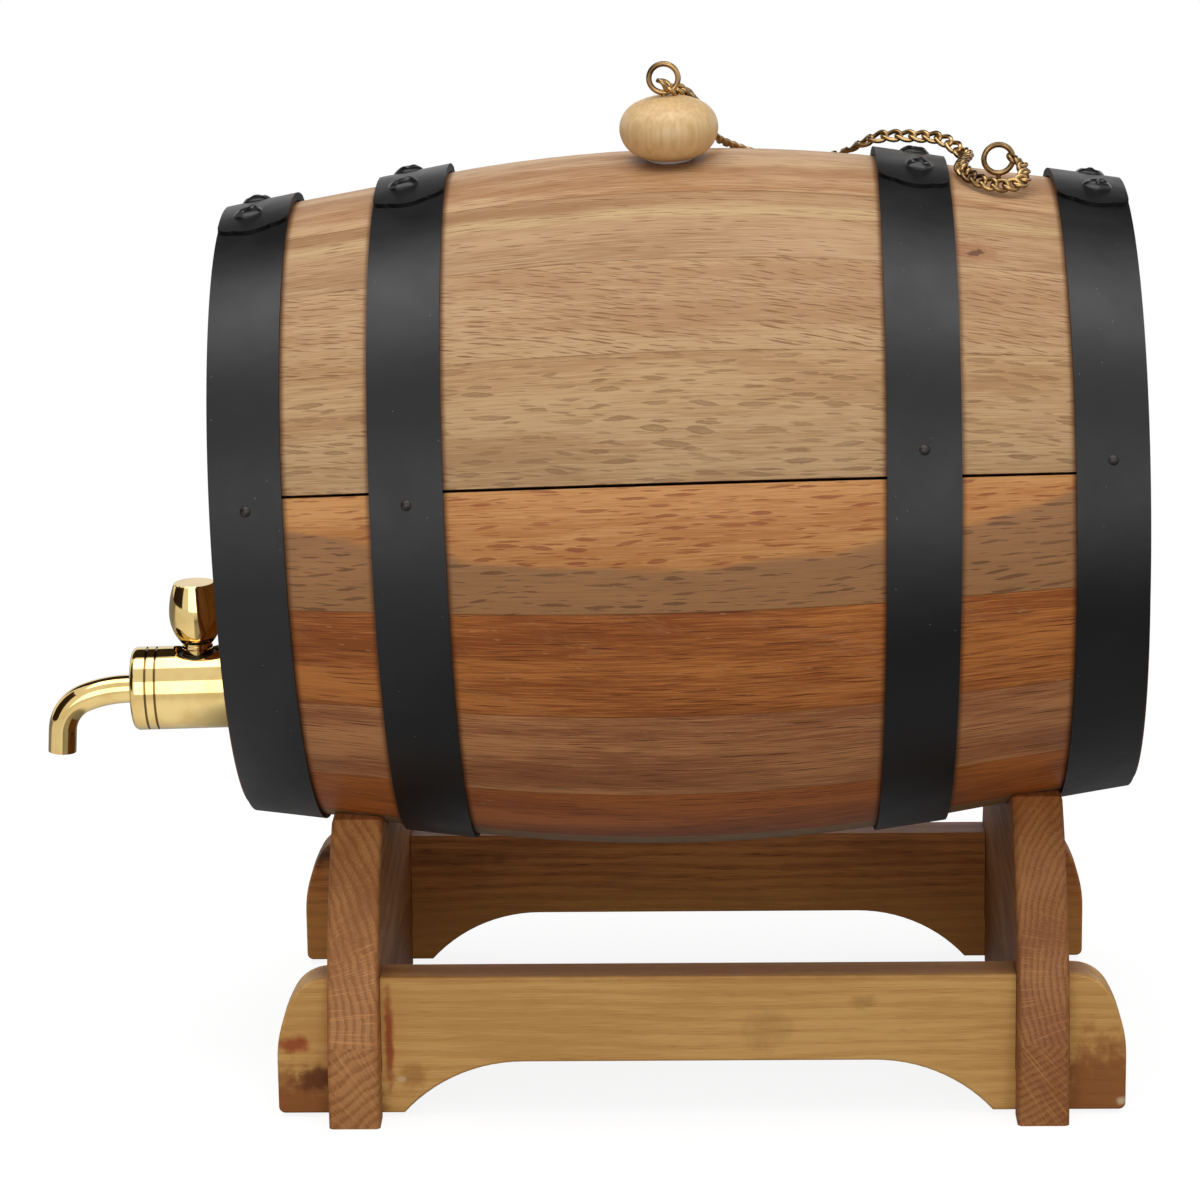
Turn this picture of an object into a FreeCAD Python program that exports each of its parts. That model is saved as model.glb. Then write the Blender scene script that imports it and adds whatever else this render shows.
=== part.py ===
import FreeCAD, Part
import math
import os
import re

import Sketcher
from FreeCAD import Placement, Rotation, Vector

# Oak cask drink dispenser: a staved cask with iron hoops and a brass tap, lying on a stand
# of two scalloped rails and two cradles, with a turned bung on a chain.
#
# Model frame, in millimetres: X runs along the cask from the tap (-X) to the rear head (+X),
# +Z is up, and the origin is under the middle of the whole dispenser, on the table top.
# The cask has a frame of its own: its origin is the middle of its axis, and its X is the axis,
# which rises towards the rear by cask_tilt so that the last of the drink runs to the tap.

SIZES = {
    # cask shell
    "cask_len": 270,
    "end_radius": 91.2,
    "bilge_radius": 106.7,
    "bilge_arc_half": 72,
    "stave_thickness": 12,
    "chime_bevel": 4,
    "croze_depth": 3,
    "croze_width": 5,
    "seam_gap_angle": 0.05,
    "open_seam_gap_angle": 0.5,
    # where the staves meet, as angles about the cask's axis from the -Y side upwards
    "seam_angle_01": 110,
    "seam_angle_02": 70,
    "seam_angle_03": 52.9,
    "seam_angle_04": 35.5,
    "seam_angle_05": 14.6,
    "seam_angle_06": -5.5,
    "seam_angle_07": -24,
    "seam_angle_08": -42.9,
    "seam_angle_09": -61.7,
    "seam_angle_10": -80.6,
    "seam_angle_11": -99.4,
    "seam_angle_12": -118.2,
    "seam_angle_13": -137.1,
    "seam_angle_14": -155.9,
    "seam_angle_15": -174.7,
    "seam_angle_16": -193.5,
    "seam_angle_17": -212.4,
    "seam_angle_18": -231.2,
    # how the cask lies
    "axis_height": 173.3,
    "cask_tilt": 1.3,
    "rest_gap": 0.3,
    # heads
    "head_recess": 12,
    "head_thickness": 12,
    "head_bevel": 5,
    "head_play": 0.2,
    # hoops
    "hoop_width": 21.4,
    "hoop_thickness": 1.2,
    "hoop_clearance": 0.35,
    "chime_hoop_inset": 0,
    "front_hoop_spacing": 46.8,
    "rear_hoop_spacing": 54.7,
    # how far the top of each hoop leans towards the nearer end of the cask
    "front_chime_lean_angle": 0.8,
    "front_bilge_lean_angle": 0.5,
    "rear_bilge_lean_angle": 1.5,
    "rear_chime_lean_angle": 0.7,
    "lap_angle": 34,
    "lap_corner": 5,
    "lap_bulge": 2,
    "lap_ramp_angle": 6,
    # rivets of the laps and nails of the hoops
    "rivet_spread_angle": 7.5,
    "rivet_offset": 2,
    "rivet_head_radius": 4.6,
    "rivet_head_height": 2,
    "rivet_rim_height": 0.4,
    "rivet_crater_radius": 1.8,
    "rivet_crater_depth": 0.7,
    "rivet_shank_radius": 2,
    "nail_head_radius": 1.6,
    "nail_head_height": 1,
    "nail_shank_radius": 0.8,
    "nail_length": 8,
    "front_chime_nail_angle": 12.4,
    "front_bilge_nail_angle": 12.6,
    "rear_bilge_nail_angle": 19.1,
    "rear_chime_nail_angle": 16.8,
    "pin_clearance": 0.05,
    "head_gap": 0.02,
    # bung, its seal and the bung hole
    "bung_x": -0.2,
    "bung_angle": 84.3,
    "bung_hole_radius": 6.2,
    "bung_radius": 14.8,
    "bung_height": 18.5,
    "bung_waist_height": 7.9,
    "bung_base_radius": 7.4,
    "bung_under_curve": 9,
    "bung_shoulder_curve": 8.2,
    "bung_shank_bevel": 0.5,
    "bung_crown_radius": 9.5,
    "bung_crown_drop": 2.2,
    "bung_shank_radius": 4.6,
    "bung_shank_length": 15,
    "seal_flange_radius": 7.1,
    "seal_flange_height": 0.9,
    "seal_lift": 0.1,
    "seal_radius": 5.8,
    "seal_length": 13,
    "seal_bevel": 0.6,
    # screw eyes
    "eye_ring_radius": 4.35,
    "eye_wire_radius": 0.85,
    "eye_neck": 2,
    "bung_eye_neck": 0.95,
    "bung_eye_x": -1.1,
    "eye_shank_radius": 0.75,
    "eye_shank_length": 9,
    "eye_from_hoop": 26,
    "cask_eye_angle": 84.7,
    "pilot_clearance": 0.1,
    "hole_spare": 0.5,
    # chain
    "link_pitch": 4.4,
    "link_wire_radius": 0.55,
    "link_bend_radius": 1.75,
    "link_straight": 2.75,
    # tap
    "tap_drop": 56.3,
    "tap_reach": 38.3,
    "tap_radius": 13,
    "tap_edge_radius": 2,
    "tap_shank_radius": 8,
    "tap_shank_length": 28,
    "tap_bore_radius": 3.2,
    "tap_groove_first": 4.7,
    "tap_groove_second": 7.7,
    "tap_groove_width": 0.6,
    "tap_groove_depth": 0.5,
    "valve_x": 20.8,
    "valve_radius": 6,
    "valve_depth": 7.5,
    "valve_floor_gap": 0.1,
    "recess_radius": 7.6,
    "recess_floor": 8.8,
    "stem_radius": 2.8,
    "collar_radius": 4.7,
    "collar_top": 12.6,
    "gland_seat": 5.3,
    "run_clearance": 0.05,
    "o_ring_wire_radius": 1,
    "knob_gap": 0.4,
    "knob_height": 20.6,
    "knob_foot_radius": 4.7,
    "knob_foot_height": 1.6,
    "knob_belly_radius": 8.3,
    "knob_belly_height": 10.5,
    "knob_top_radius": 6.4,
    "knob_lower_curve": 14,
    "knob_upper_curve": 27,
    "knob_line": 0.25,
    "knob_socket_depth": 12,
    "spout_radius": 4.4,
    "spout_bore_radius": 3.1,
    "spout_root": 8,
    "spout_straight": 1.7,
    "spout_fall_radius": 40,
    "spout_fall_angle": 20,
    "spout_bend_radius": 12,
    "spout_bend_angle": 65,
    "spout_tip_length": 7,
    "washer_thickness": 2,
    "washer_radius": 12,
    "nut_across_flats": 22,
    "nut_thickness": 6,
    # stand
    "front_cradle_gap": 3.3,
    "rear_cradle_gap": 0.3,
    "rail_right_front_overhang": 23.6,
    "rail_right_rear_overhang": 25.3,
    "rail_left_front_overhang": 27.6,
    "rail_left_rear_overhang": 24.6,
    "rail_base": 1.2,
    "rail_top": 44,
    "rail_thickness": 13.3,
    "rail_inset": 17.05,
    "rail_end_straight": 18,
    "rail_side_radius": 40,
    "rail_shoulder_radius": 12,
    "rail_foot_radius": 2,
    "arch_inset": 14.4,
    "arch_height": 16,
    "arch_end_radius": 48,
    "rail_easing": 0.8,
    "cradle_thickness": 15.4,
    "cradle_half_width": 88.4,
    "cradle_foot": 10,
    "cradle_split": 25,
    "horn_rise": 11,
    "horn_tip": 4.9,
    "cradle_easing": 1.6,
    "lap_joint_height": 14,
    "lap_joint_clearance": 0.15,
}

# The chain's route: from the bung's eye down behind the bung (x, y and z from the middle of the
# eye's ring, Z along the bung), along the far shoulder of the cask (the share of the way from the
# bung to the rear bilge hoop, y, and the height of the chain's middle over the staves), over that
# hoop (x from its middle), and up into the cask's eye (from the middle of its ring).
CHAIN_FALL = [
    (3.95, -0.5, 0.0),
    (6.7, 3.0, -0.7),
    (8.3, 8.0, -3.0),
    (9.6, 12.4, -7.4),
    (10.8, 14.4, -12.6),
    (12.0, 15.4, -18.2),
]
CHAIN_LIE = [
    (0.2, 11.6, 4.2),
    (0.24, 18.0, 3.4),
    (0.297, 24.0, 2.9),
    (0.375, 29.8, 2.7),
    (0.49, 33.8, 2.7),
    (0.6, 34.6, 2.7),
    (0.7, 32.2, 3.1),
]
CHAIN_CROSS = [
    (-15.1, 28.4, 3.9),
    (-9.1, 25.4, 5.3),
    (-2.6, 23.8, 6.1),
    (4.4, 22.4, 5.8),
    (10.9, 19.6, 5.2),
    (16.2, 15.0, 4.3),
    (19.4, 9.0, 3.7),
    (20.0, 2.6, 3.3),
    (18.6, -4.0, 3.1),
    (17.3, -10.6, 2.9),
    (18.8, -17.2, 2.9),
    (23.6, -22.4, 3.0),
]
CHAIN_RISE = [
    (1.5, -14.9, -5.9),
    (8.0, -14.0, -5.8),
    (12.4, -10.0, -4.4),
    (12.2, -5.2, -2.2),
    (8.4, -2.2, -0.6),
    (3.75, 0.3, 0.0),
]

STAVE_COUNT = 18
BUNG_STAVE = 1
OPEN_SEAM = 5
# Steps of the chain's route between two of its points, and how the links roll from upright at both
# ends of the chain to their lie on the staves.
ROUTE_STEPS = 12
LINK_ROLL_STEP = 9
LINK_ROLL_LYING = 45
NAILS_PER_HOOP = 3

doc = FreeCAD.newDocument("cask_dispenser")
sheet = doc.addObject("Spreadsheet::Sheet", "Dims")
for row, (alias, number) in enumerate(SIZES.items(), start=1):
    sheet.set(f"A{row}", alias)
    sheet.set(f"B{row}", str(number))
    sheet.setAlias(f"B{row}", alias)
doc.recompute()

parts = []


# ---------------------------------------------------------------- expressions

def bound(text):
    """An expression in the sheet's names, with each name pointed at the sheet."""
    return re.sub(r"[a-z][a-z0-9_]*", lambda m: f"Dims.{m[0]}" if m[0] in SIZES else m[0], str(text))


def number(text):
    """The value that an expression has now."""
    result = sheet.evalExpression(bound(text))
    return float(getattr(result, "Value", result))


def place(x=0, y=0, z=0, axis="x", angle=0):
    """A placement expression: a turn about one axis, then a move."""
    turn = {"x": "vector(1; 0; 0)", "y": "vector(0; 1; 0)", "z": "vector(0; 0; 1)"}[axis]
    return f"placement(vector({x}; {y}; {z}); rotation({turn}; {angle}))"


def chained(*placements):
    return " * ".join(placements)


# ---------------------------------------------------------------- driving relations

HALF_LEN = "cask_len / 2"
TAPER = f"((bilge_radius - end_radius) / ({HALF_LEN} - bilge_arc_half / 2))"
SHOULDER_RADIUS = f"(end_radius + {TAPER} * ({HALF_LEN} - bilge_arc_half))"
BILGE_RISE = f"(bilge_radius - {SHOULDER_RADIUS})"
ARC_RADIUS = f"((bilge_arc_half ^ 2 + {BILGE_RISE} ^ 2) / (2 * {BILGE_RISE}))"


def wood_radius_on_taper(x):
    """Outer radius of the staves at a distance x from mid-length, on the straight taper."""
    return f"(end_radius + {TAPER} * ({HALF_LEN} - abs({x})))"


def wood_radius_on_arc(x):
    """Outer radius of the staves at a distance x from mid-length, on the bilge arc."""
    return f"(bilge_radius - {ARC_RADIUS} + sqrt({ARC_RADIUS} ^ 2 - ({x}) ^ 2))"


SPOUT_TURN = "(spout_fall_angle + spout_bend_angle)"
SPOUT_END_X = (
    "(-spout_straight - spout_fall_radius * sin(spout_fall_angle * 1deg)"
    " + spout_bend_radius * sin(spout_fall_angle * 1deg)"
    f" - spout_bend_radius * sin({SPOUT_TURN} * 1deg)"
    f" - spout_tip_length * cos({SPOUT_TURN} * 1deg))"
)
SPOUT_END_Z = (
    "(-spout_fall_radius * (1 - cos(spout_fall_angle * 1deg))"
    " - spout_bend_radius * cos(spout_fall_angle * 1deg)"
    f" + spout_bend_radius * cos({SPOUT_TURN} * 1deg)"
    f" - spout_tip_length * sin({SPOUT_TURN} * 1deg))"
)
TAP_FRONT = f"(-{HALF_LEN} - tap_reach)"
# The dispenser's reach each way along X, measured from the middle of the cask.
FRONT_REACH = (
    f"(({TAP_FRONT} + {SPOUT_END_X} - spout_radius * sin({SPOUT_TURN} * 1deg)) * cos(cask_tilt * 1deg)"
    f" + (tap_drop - {SPOUT_END_Z}) * sin(cask_tilt * 1deg))"
)
REAR_REACH = f"({HALF_LEN} * cos(cask_tilt * 1deg) + end_radius * sin(cask_tilt * 1deg))"
CASK_X = f"(-({FRONT_REACH} + {REAR_REACH}) / 2)"
CHIME_HOOP_EDGE = f"({HALF_LEN} - chime_hoop_inset - hoop_width)"
CHIME_HOOP_RADIUS = f"({wood_radius_on_taper(CHIME_HOOP_EDGE)} + hoop_clearance + hoop_thickness)"


def hoop_edge_below(side, lean):
    """How far the chime hoop's inner edge is from mid-cask at its lowest point, along X."""
    along = f"({CHIME_HOOP_EDGE} - {CHIME_HOOP_RADIUS} * sin({lean} * 1deg))"
    return f"({along} * cos(cask_tilt * 1deg) + {side} * {CHIME_HOOP_RADIUS} * sin(cask_tilt * 1deg))"


# The cradles stand just inside the chime hoops, and the stand is centred on them.
FRONT_CRADLE = (
    f"({hoop_edge_below(-1, 'front_chime_lean_angle')} - front_cradle_gap - cradle_thickness / 2)"
)
REAR_CRADLE = (
    f"({hoop_edge_below(1, 'rear_chime_lean_angle')} - rear_cradle_gap - cradle_thickness / 2)"
)
CRADLE_X = f"(({FRONT_CRADLE} + {REAR_CRADLE}) / 2)"
STAND_X = f"({CASK_X} + ({REAR_CRADLE} - {FRONT_CRADLE}) / 2)"
RAIL_Y = "(cradle_half_width - rail_inset)"

CASK = place(CASK_X, 0, "axis_height", "y", "-cask_tilt")
TAP = chained(CASK, place(TAP_FRONT, 0, "-tap_drop"))
BUNG_SEAT = "(bilge_radius + seal_lift + seal_flange_height)"
BUNG = chained(place(angle="(90 - bung_angle)"), place("bung_x", 0, BUNG_SEAT))
REAR_CHIME_X = f"({HALF_LEN} - chime_hoop_inset - hoop_width / 2)"
REAR_BILGE_X = f"({REAR_CHIME_X} - rear_hoop_spacing)"
CASK_EYE_X = f"({REAR_CHIME_X} - eye_from_hoop)"


# ---------------------------------------------------------------- modelling helpers

def new_body(label, placement):
    body = doc.addObject("PartDesign::Body", label)
    body.Label = label
    body.setExpression("Placement", bound(placement))
    return body


def new_part(label, placement):
    """A body that is exported as a piece of its own."""
    body = new_body(label, placement)
    parts.append(body)
    return body


def origin_plane(body, role):
    return next(plane for plane in body.Origin.OriginFeatures if plane.Role == role)


def new_sketch(body, name, role, turn=None):
    sketch = body.newObject("Sketcher::SketchObject", name)
    sketch.AttachmentSupport = [(origin_plane(body, role), "")]
    sketch.MapMode = "FlatFace"
    if turn is not None:
        sketch.setExpression("AttachmentOffset", bound(turn))
    return sketch


def arc_between(start, end, radius):
    """The shorter arc from start to end; a positive radius turns left, a negative one right."""
    chord = end - start
    left = Vector(-chord.y, chord.x, 0).normalize()
    sag = math.sqrt(max(radius ** 2 - (chord.Length / 2) ** 2, 0))
    centre = start + chord / 2 + left * math.copysign(sag, radius)
    angles = [math.atan2(point.y - centre.y, point.x - centre.x) for point in (start, end)]
    if radius < 0:
        angles.reverse()
    if angles[1] < angles[0]:
        angles[1] += 2 * math.pi
    circle = Part.Circle(centre, Vector(0, 0, 1), abs(radius))
    return Part.ArcOfCircle(circle, angles[0], angles[1])


def draw(sketch, corners, closed=True):
    """Draws an outline through corners (x, y[, radius of the arc to the next corner])."""
    points = [Vector(number(corner[0]), number(corner[1]), 0) for corner in corners]
    first = sketch.GeometryCount
    count = len(corners)
    spans = count if closed else count - 1
    ends = []
    for index in range(spans):
        start = points[index]
        end = points[(index + 1) % count]
        if len(corners[index]) == 3:
            radius = corners[index][2]
            turn = number(radius)
            sketch.addGeometry(arc_between(start, end, turn), False)
            size = sketch.addConstraint(Sketcher.Constraint("Radius", first + index, abs(turn)))
            sketch.setExpression(f"Constraints[{size}]", bound(f"abs({radius})"))
            ends.append((1, 2) if turn > 0 else (2, 1))
        else:
            sketch.addGeometry(Part.LineSegment(start, end), False)
            ends.append((1, 2))
    for index in range(spans if closed else spans - 1):
        following = (index + 1) % spans
        pair = (first + index, ends[index][1], first + following, ends[following][0])
        sketch.addConstraint(Sketcher.Constraint("Coincident", *pair))
    for index in range(count):
        on_last = index == spans
        span = spans - 1 if on_last else index
        end = ends[span][1] if on_last else ends[span][0]
        for kind, text, at in (
            ("DistanceX", corners[index][0], points[index].x),
            ("DistanceY", corners[index][1], points[index].y),
        ):
            fixed = sketch.addConstraint(Sketcher.Constraint(kind, -1, 1, first + span, end, at))
            sketch.setExpression(f"Constraints[{fixed}]", bound(f"1 * ({text})"))
    return sketch


def draw_circle(sketch, radius, x=0, y=0):
    index = sketch.addGeometry(Part.Circle(Vector(number(x), number(y), 0), Vector(0, 0, 1), number(radius)))
    size = sketch.addConstraint(Sketcher.Constraint("Radius", index, number(radius)))
    sketch.setExpression(f"Constraints[{size}]", bound(radius))
    for kind, text in (("DistanceX", x), ("DistanceY", y)):
        fixed = sketch.addConstraint(Sketcher.Constraint(kind, -1, 1, index, 3, number(text)))
        sketch.setExpression(f"Constraints[{fixed}]", bound(f"1 * ({text})"))
    return sketch


def revolve(body, name, sketch, axis="H_Axis", angle=None):
    feature = body.newObject("PartDesign::Revolution", name)
    feature.Profile = sketch
    feature.ReferenceAxis = (sketch, [axis])
    if angle is None:
        feature.Angle = 360
    else:
        feature.Midplane = True
        feature.setExpression("Angle", bound(angle))
    return feature


def pad(body, name, sketch, length):
    feature = body.newObject("PartDesign::Pad", name)
    feature.Profile = sketch
    feature.Midplane = True
    feature.setExpression("Length", bound(length))
    return feature


def add_cylinder(body, name, radius, height, placement, cut=False):
    kind = "PartDesign::SubtractiveCylinder" if cut else "PartDesign::AdditiveCylinder"
    feature = body.newObject(kind, name)
    feature.setExpression("Radius", bound(radius))
    feature.setExpression("Height", bound(height))
    feature.setExpression("Placement", bound(placement))
    return feature


def cut_cylinder(body, name, radius, height, placement):
    return add_cylinder(body, name, radius, height, placement, cut=True)


def drill(body, name, radius, height, placement):
    """A round hole from a placement upwards, out through the face over it."""
    sketch = new_sketch(body, f"{name}_circle", "XY_Plane", placement)
    draw_circle(sketch, radius)
    feature = body.newObject("PartDesign::Pocket", name)
    feature.Profile = sketch
    feature.Reversed = True
    feature.setExpression("Length", bound(height))
    return feature


def add_torus(body, name, ring_radius, wire_radius, placement):
    feature = body.newObject("PartDesign::AdditiveTorus", name)
    feature.setExpression("Radius1", bound(ring_radius))
    feature.setExpression("Radius2", bound(wire_radius))
    feature.setExpression("Placement", bound(placement))
    return feature


def cut_box(body, name, sizes, placement):
    feature = body.newObject("PartDesign::SubtractiveBox", name)
    for side, size in zip(("Length", "Width", "Height"), sizes):
        feature.setExpression(side, bound(size))
    feature.setExpression("Placement", bound(placement))
    return feature


def ease_edges(body, name, radius, edges):
    """Rounds off those edges of the body so far that the test picks out."""
    doc.recompute()
    solid = body.Tip
    chosen = [f"Edge{order}" for order, edge in enumerate(solid.Shape.Edges, start=1) if edges(edge)]
    feature = body.newObject("PartDesign::Fillet", name)
    feature.Base = (solid, chosen)
    feature.setExpression("Radius", bound(radius))
    return feature


def group(label, bodies):
    """One piece of several separate, alike solids."""
    compound = doc.addObject("Part::Compound", label)
    compound.Label = label
    compound.Links = bodies
    parts.append(compound)
    return compound


# ---------------------------------------------------------------- places on the cask

def on_cask(x, angle, radius, slope=0):
    """A frame on the cask at x, at an angle from the -Y side upwards, with its Z outwards."""
    return chained(place(angle=f"(90 - {angle})"), place(x, 0, radius, "y", slope))


def hoop_layout():
    """Name, middle along the axis, side (-1 front, +1 rear), lean and drop of each hoop."""
    middles = {
        "front_chime": (f"(-{REAR_CHIME_X})", -1),
        "front_bilge": (f"(front_hoop_spacing - {REAR_CHIME_X})", -1),
        "rear_bilge": (REAR_BILGE_X, 1),
        "rear_chime": (REAR_CHIME_X, 1),
    }
    layout = []
    for name, (x, side) in middles.items():
        lean = f"({side} * {name}_lean_angle)"
        drop = f"({wood_radius_on_taper(x)} * {TAPER} * sin({name}_lean_angle * 1deg))"
        layout.append((f"hoop_{name}", x, side, lean, drop))
    return layout


def hoop_edge_radii(name, x):
    """Inner radii of a hoop at its edge nearer mid-length and at its outer edge."""
    inner_edge = f"(abs({x}) - hoop_width / 2)"
    outer_edge = f"(abs({x}) + hoop_width / 2)"
    surface = wood_radius_on_arc if name.endswith("bilge") else wood_radius_on_taper
    return (
        f"({surface(inner_edge)} + hoop_clearance)",
        f"({wood_radius_on_taper(outer_edge)} + hoop_clearance)",
    )


def hoop_frame(x, lean, drop):
    """A hoop's own frame: on the axis at x, leaning in the XZ plane."""
    return place(x, 0, f"(-{drop})", "y", lean)


def nail_places(name):
    """Angles of a hoop's nails, evenly spaced round it."""
    first = f"{name.removeprefix('hoop_')}_nail_angle"
    step = 360 / NAILS_PER_HOOP
    return [f"({first} - {step * index})" for index in range(NAILS_PER_HOOP)]


def mid_radius(radii):
    return f"(({radii[0]} + {radii[1]}) / 2)"


def hoop_slope(radii):
    return f"(({radii[0]} - {radii[1]}) / hoop_width)"


def slope_angle(radii, side):
    """Angle by which a hoop's outer face falls away towards the nearer end of the cask."""
    return f"({side} * atan({hoop_slope(radii)}) / 1deg)"


# ---------------------------------------------------------------- cask

def seam(index):
    """The seam before stave number index, counted on round the cask."""
    if index > STAVE_COUNT:
        return f"(seam_angle_{index - STAVE_COUNT:02d} - 360)"
    return f"seam_angle_{index:02d}"


def gap_at(index):
    return "open_seam_gap_angle" if index == OPEN_SEAM else "seam_gap_angle"


def stave_outline(sketch):
    """Half section of a stave through the axis: bent outside and inside, with both crozes."""
    inner_end = f"(end_radius - stave_thickness + chime_bevel)"
    croze_in = f"({HALF_LEN} - head_recess - head_thickness / 2 - croze_width / 2)"
    croze_out = f"({HALF_LEN} - head_recess - head_thickness / 2 + croze_width / 2)"
    bevel_x = f"({HALF_LEN} - chime_bevel)"

    def inner(x):
        return f"({wood_radius_on_taper(x)} - stave_thickness)"

    shoulder_in = f"({SHOULDER_RADIUS} - stave_thickness)"
    croze_floor = f"({inner(croze_out)} + croze_depth)"
    right = [
        (bevel_x, inner(bevel_x)),
        (croze_out, inner(croze_out)),
        (croze_out, croze_floor),
        (croze_in, croze_floor),
        (croze_in, inner(croze_in)),
    ]
    left = [(f"(-{x})", r) for x, r in reversed(right)]
    draw(sketch, [
        (f"(-{HALF_LEN})", inner_end),
        (f"(-{HALF_LEN})", "end_radius"),
        ("(-bilge_arc_half)", SHOULDER_RADIUS, f"(-{ARC_RADIUS})"),
        ("bilge_arc_half", SHOULDER_RADIUS),
        (HALF_LEN, "end_radius"),
        (HALF_LEN, inner_end),
        *right,
        ("bilge_arc_half", shoulder_in, ARC_RADIUS),
        ("(-bilge_arc_half)", shoulder_in),
        *left,
    ])


def make_stave(index):
    upper, lower = seam(index), seam(index + 1)
    upper_gap, lower_gap = gap_at(index), gap_at(index + 1)
    top = f"({upper} - {upper_gap} / 2)"
    bottom = f"({lower} + {lower_gap} / 2)"
    middle = f"(({top} + {bottom}) / 2)"
    body = new_part(f"stave_{index:02d}", chained(CASK, place(angle=f"(90 - {middle})")))
    sketch = new_sketch(body, f"stave_{index:02d}_section", "XZ_Plane")
    stave_outline(sketch)
    revolve(body, f"stave_{index:02d}_sweep", sketch, angle=f"({top} - {bottom})")
    cut_nail_holes(body, index, middle)
    if index == BUNG_STAVE:
        turn = f"(90 - {middle})"
        cut_cylinder(
            body, "bung_hole", "bung_hole_radius", "2 * stave_thickness",
            chained(
                place(angle=f"(-{turn})"),
                on_cask("bung_x", "bung_angle", "(bilge_radius - 1.5 * stave_thickness)"),
            ),
        )
        surface = wood_radius_on_taper(CASK_EYE_X)
        cut_cylinder(
            body, "eye_pilot_hole", "(eye_shank_radius + pilot_clearance)", "2 * eye_shank_length",
            chained(
                place(angle=f"(-{turn})"),
                on_cask(CASK_EYE_X, "cask_eye_angle", f"({surface} - eye_shank_length - hole_spare)"),
            ),
        )
    return body


def stave_span(index):
    """Angles between which a nail reaches this stave."""
    reach = 1
    return number(seam(index + 1)) - reach, number(seam(index)) + reach


def wrapped_angle(angle):
    """The angle, counted like the seams: down from the first one."""
    value = number(angle)
    return value if value >= number(seam(STAVE_COUNT + 1)) else value + 360


def cut_nail_holes(body, index, middle):
    """Blind holes for the hoop nails that are driven into this stave."""
    low, high = stave_span(index)
    for name, x, side, lean, drop in hoop_layout():
        radii = hoop_edge_radii(name, x)
        for order, angle in enumerate(nail_places(name)):
            if not low < wrapped_angle(angle) < high:
                continue
            hole = chained(
                place(angle=f"({middle} - 90)"),
                hoop_frame(x, lean, drop),
                on_cask(0, angle, nail_seat(radii), slope_angle(radii, side)),
                place(0, 0, "(-nail_length - hole_spare)"),
            )
            drill(
                body, f"stave_{index:02d}_{name}_nail_{order}",
                "(nail_shank_radius + pin_clearance)", "(2 * nail_length)", hole,
            )


def make_head(label, side):
    """A head: a disc whose bevelled edge ends in a tongue that stands in the croze."""
    middle = f"({HALF_LEN} - head_recess - head_thickness / 2)"
    body = new_part(label, chained(CASK, place(f"({side} * {middle})", 0, 0)))
    croze_out = f"({middle} + croze_width / 2)"
    bore = f"({wood_radius_on_taper(f'({middle} + head_thickness / 2)')} - stave_thickness)"
    rim = f"({wood_radius_on_taper(croze_out)} - stave_thickness + croze_depth - head_play)"
    shoulder = f"({bore} - 2 * head_play)"
    tongue = "(croze_width / 2 - head_play)"
    face = "(head_thickness / 2)"
    sketch = new_sketch(body, f"{label}_section", "XZ_Plane")
    draw(sketch, [
        (f"(-{face})", "0"),
        (f"(-{face})", f"({shoulder} - head_bevel)"),
        (f"(-{tongue})", shoulder),
        (f"(-{tongue})", rim),
        (tongue, rim),
        (tongue, shoulder),
        (face, f"({shoulder} - head_bevel)"),
        (face, "0"),
    ])
    revolve(body, f"{label}_disc", sketch)
    return body


def make_front_head():
    body = make_head("head_front", -1)
    cut_cylinder(
        body, "tap_hole", "(tap_shank_radius + pilot_clearance)", "2 * head_thickness",
        chained(place("(-head_thickness)", 0, "-tap_drop", "y", 90)),
    )


def band_outline(sketch, radii, low, high, side):
    """Section of a hoop layer between two heights above the hoop's inner face."""
    near, far = radii
    left, right = (near, far) if side > 0 else (far, near)
    draw(sketch, [
        ("(-hoop_width / 2)", f"({left} + {low})"),
        ("(hoop_width / 2)", f"({right} + {low})"),
        ("(hoop_width / 2)", f"({right} + {high})"),
        ("(-hoop_width / 2)", f"({left} + {high})"),
    ])


def make_hoop(name, x, side, lean, drop):
    """A riveted strip: a closed ring whose outer end lies on itself over the top of the cask."""
    radii = hoop_edge_radii(name, x)
    body = new_part(name, chained(CASK, hoop_frame(x, lean, drop)))
    lap = new_sketch(body, f"{name}_lap_section", "XZ_Plane")
    band_outline(lap, radii, "hoop_thickness", "2 * hoop_thickness", side)
    revolve(body, f"{name}_lap", lap, angle="lap_angle")
    round_lap_end(body, name, radii)
    add_lap_ramp(body, name, radii, side)
    ring = new_sketch(body, f"{name}_ring_section", "XZ_Plane")
    band_outline(ring, radii, "0", "hoop_thickness", side)
    revolve(body, f"{name}_ring", ring)
    for order, angle in enumerate(rivet_angles()):
        seat = on_cask(rivet_x(side), angle, rivet_seat(radii), slope_angle(radii, side))
        cut_cylinder(
            body, f"{name}_rivet_hole_{order}", "(rivet_shank_radius + pin_clearance)",
            "6 * hoop_thickness", chained(seat, place(0, 0, "(-3 * hoop_thickness)")),
        )
    for order, angle in enumerate(nail_places(name)):
        seat = on_cask(0, angle, nail_seat(radii), slope_angle(radii, side))
        cut_cylinder(
            body, f"{name}_nail_hole_{order}", "(nail_shank_radius + pin_clearance)",
            "4 * hoop_thickness", chained(seat, place(0, 0, "(-2 * hoop_thickness)")),
        )
    return body


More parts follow.
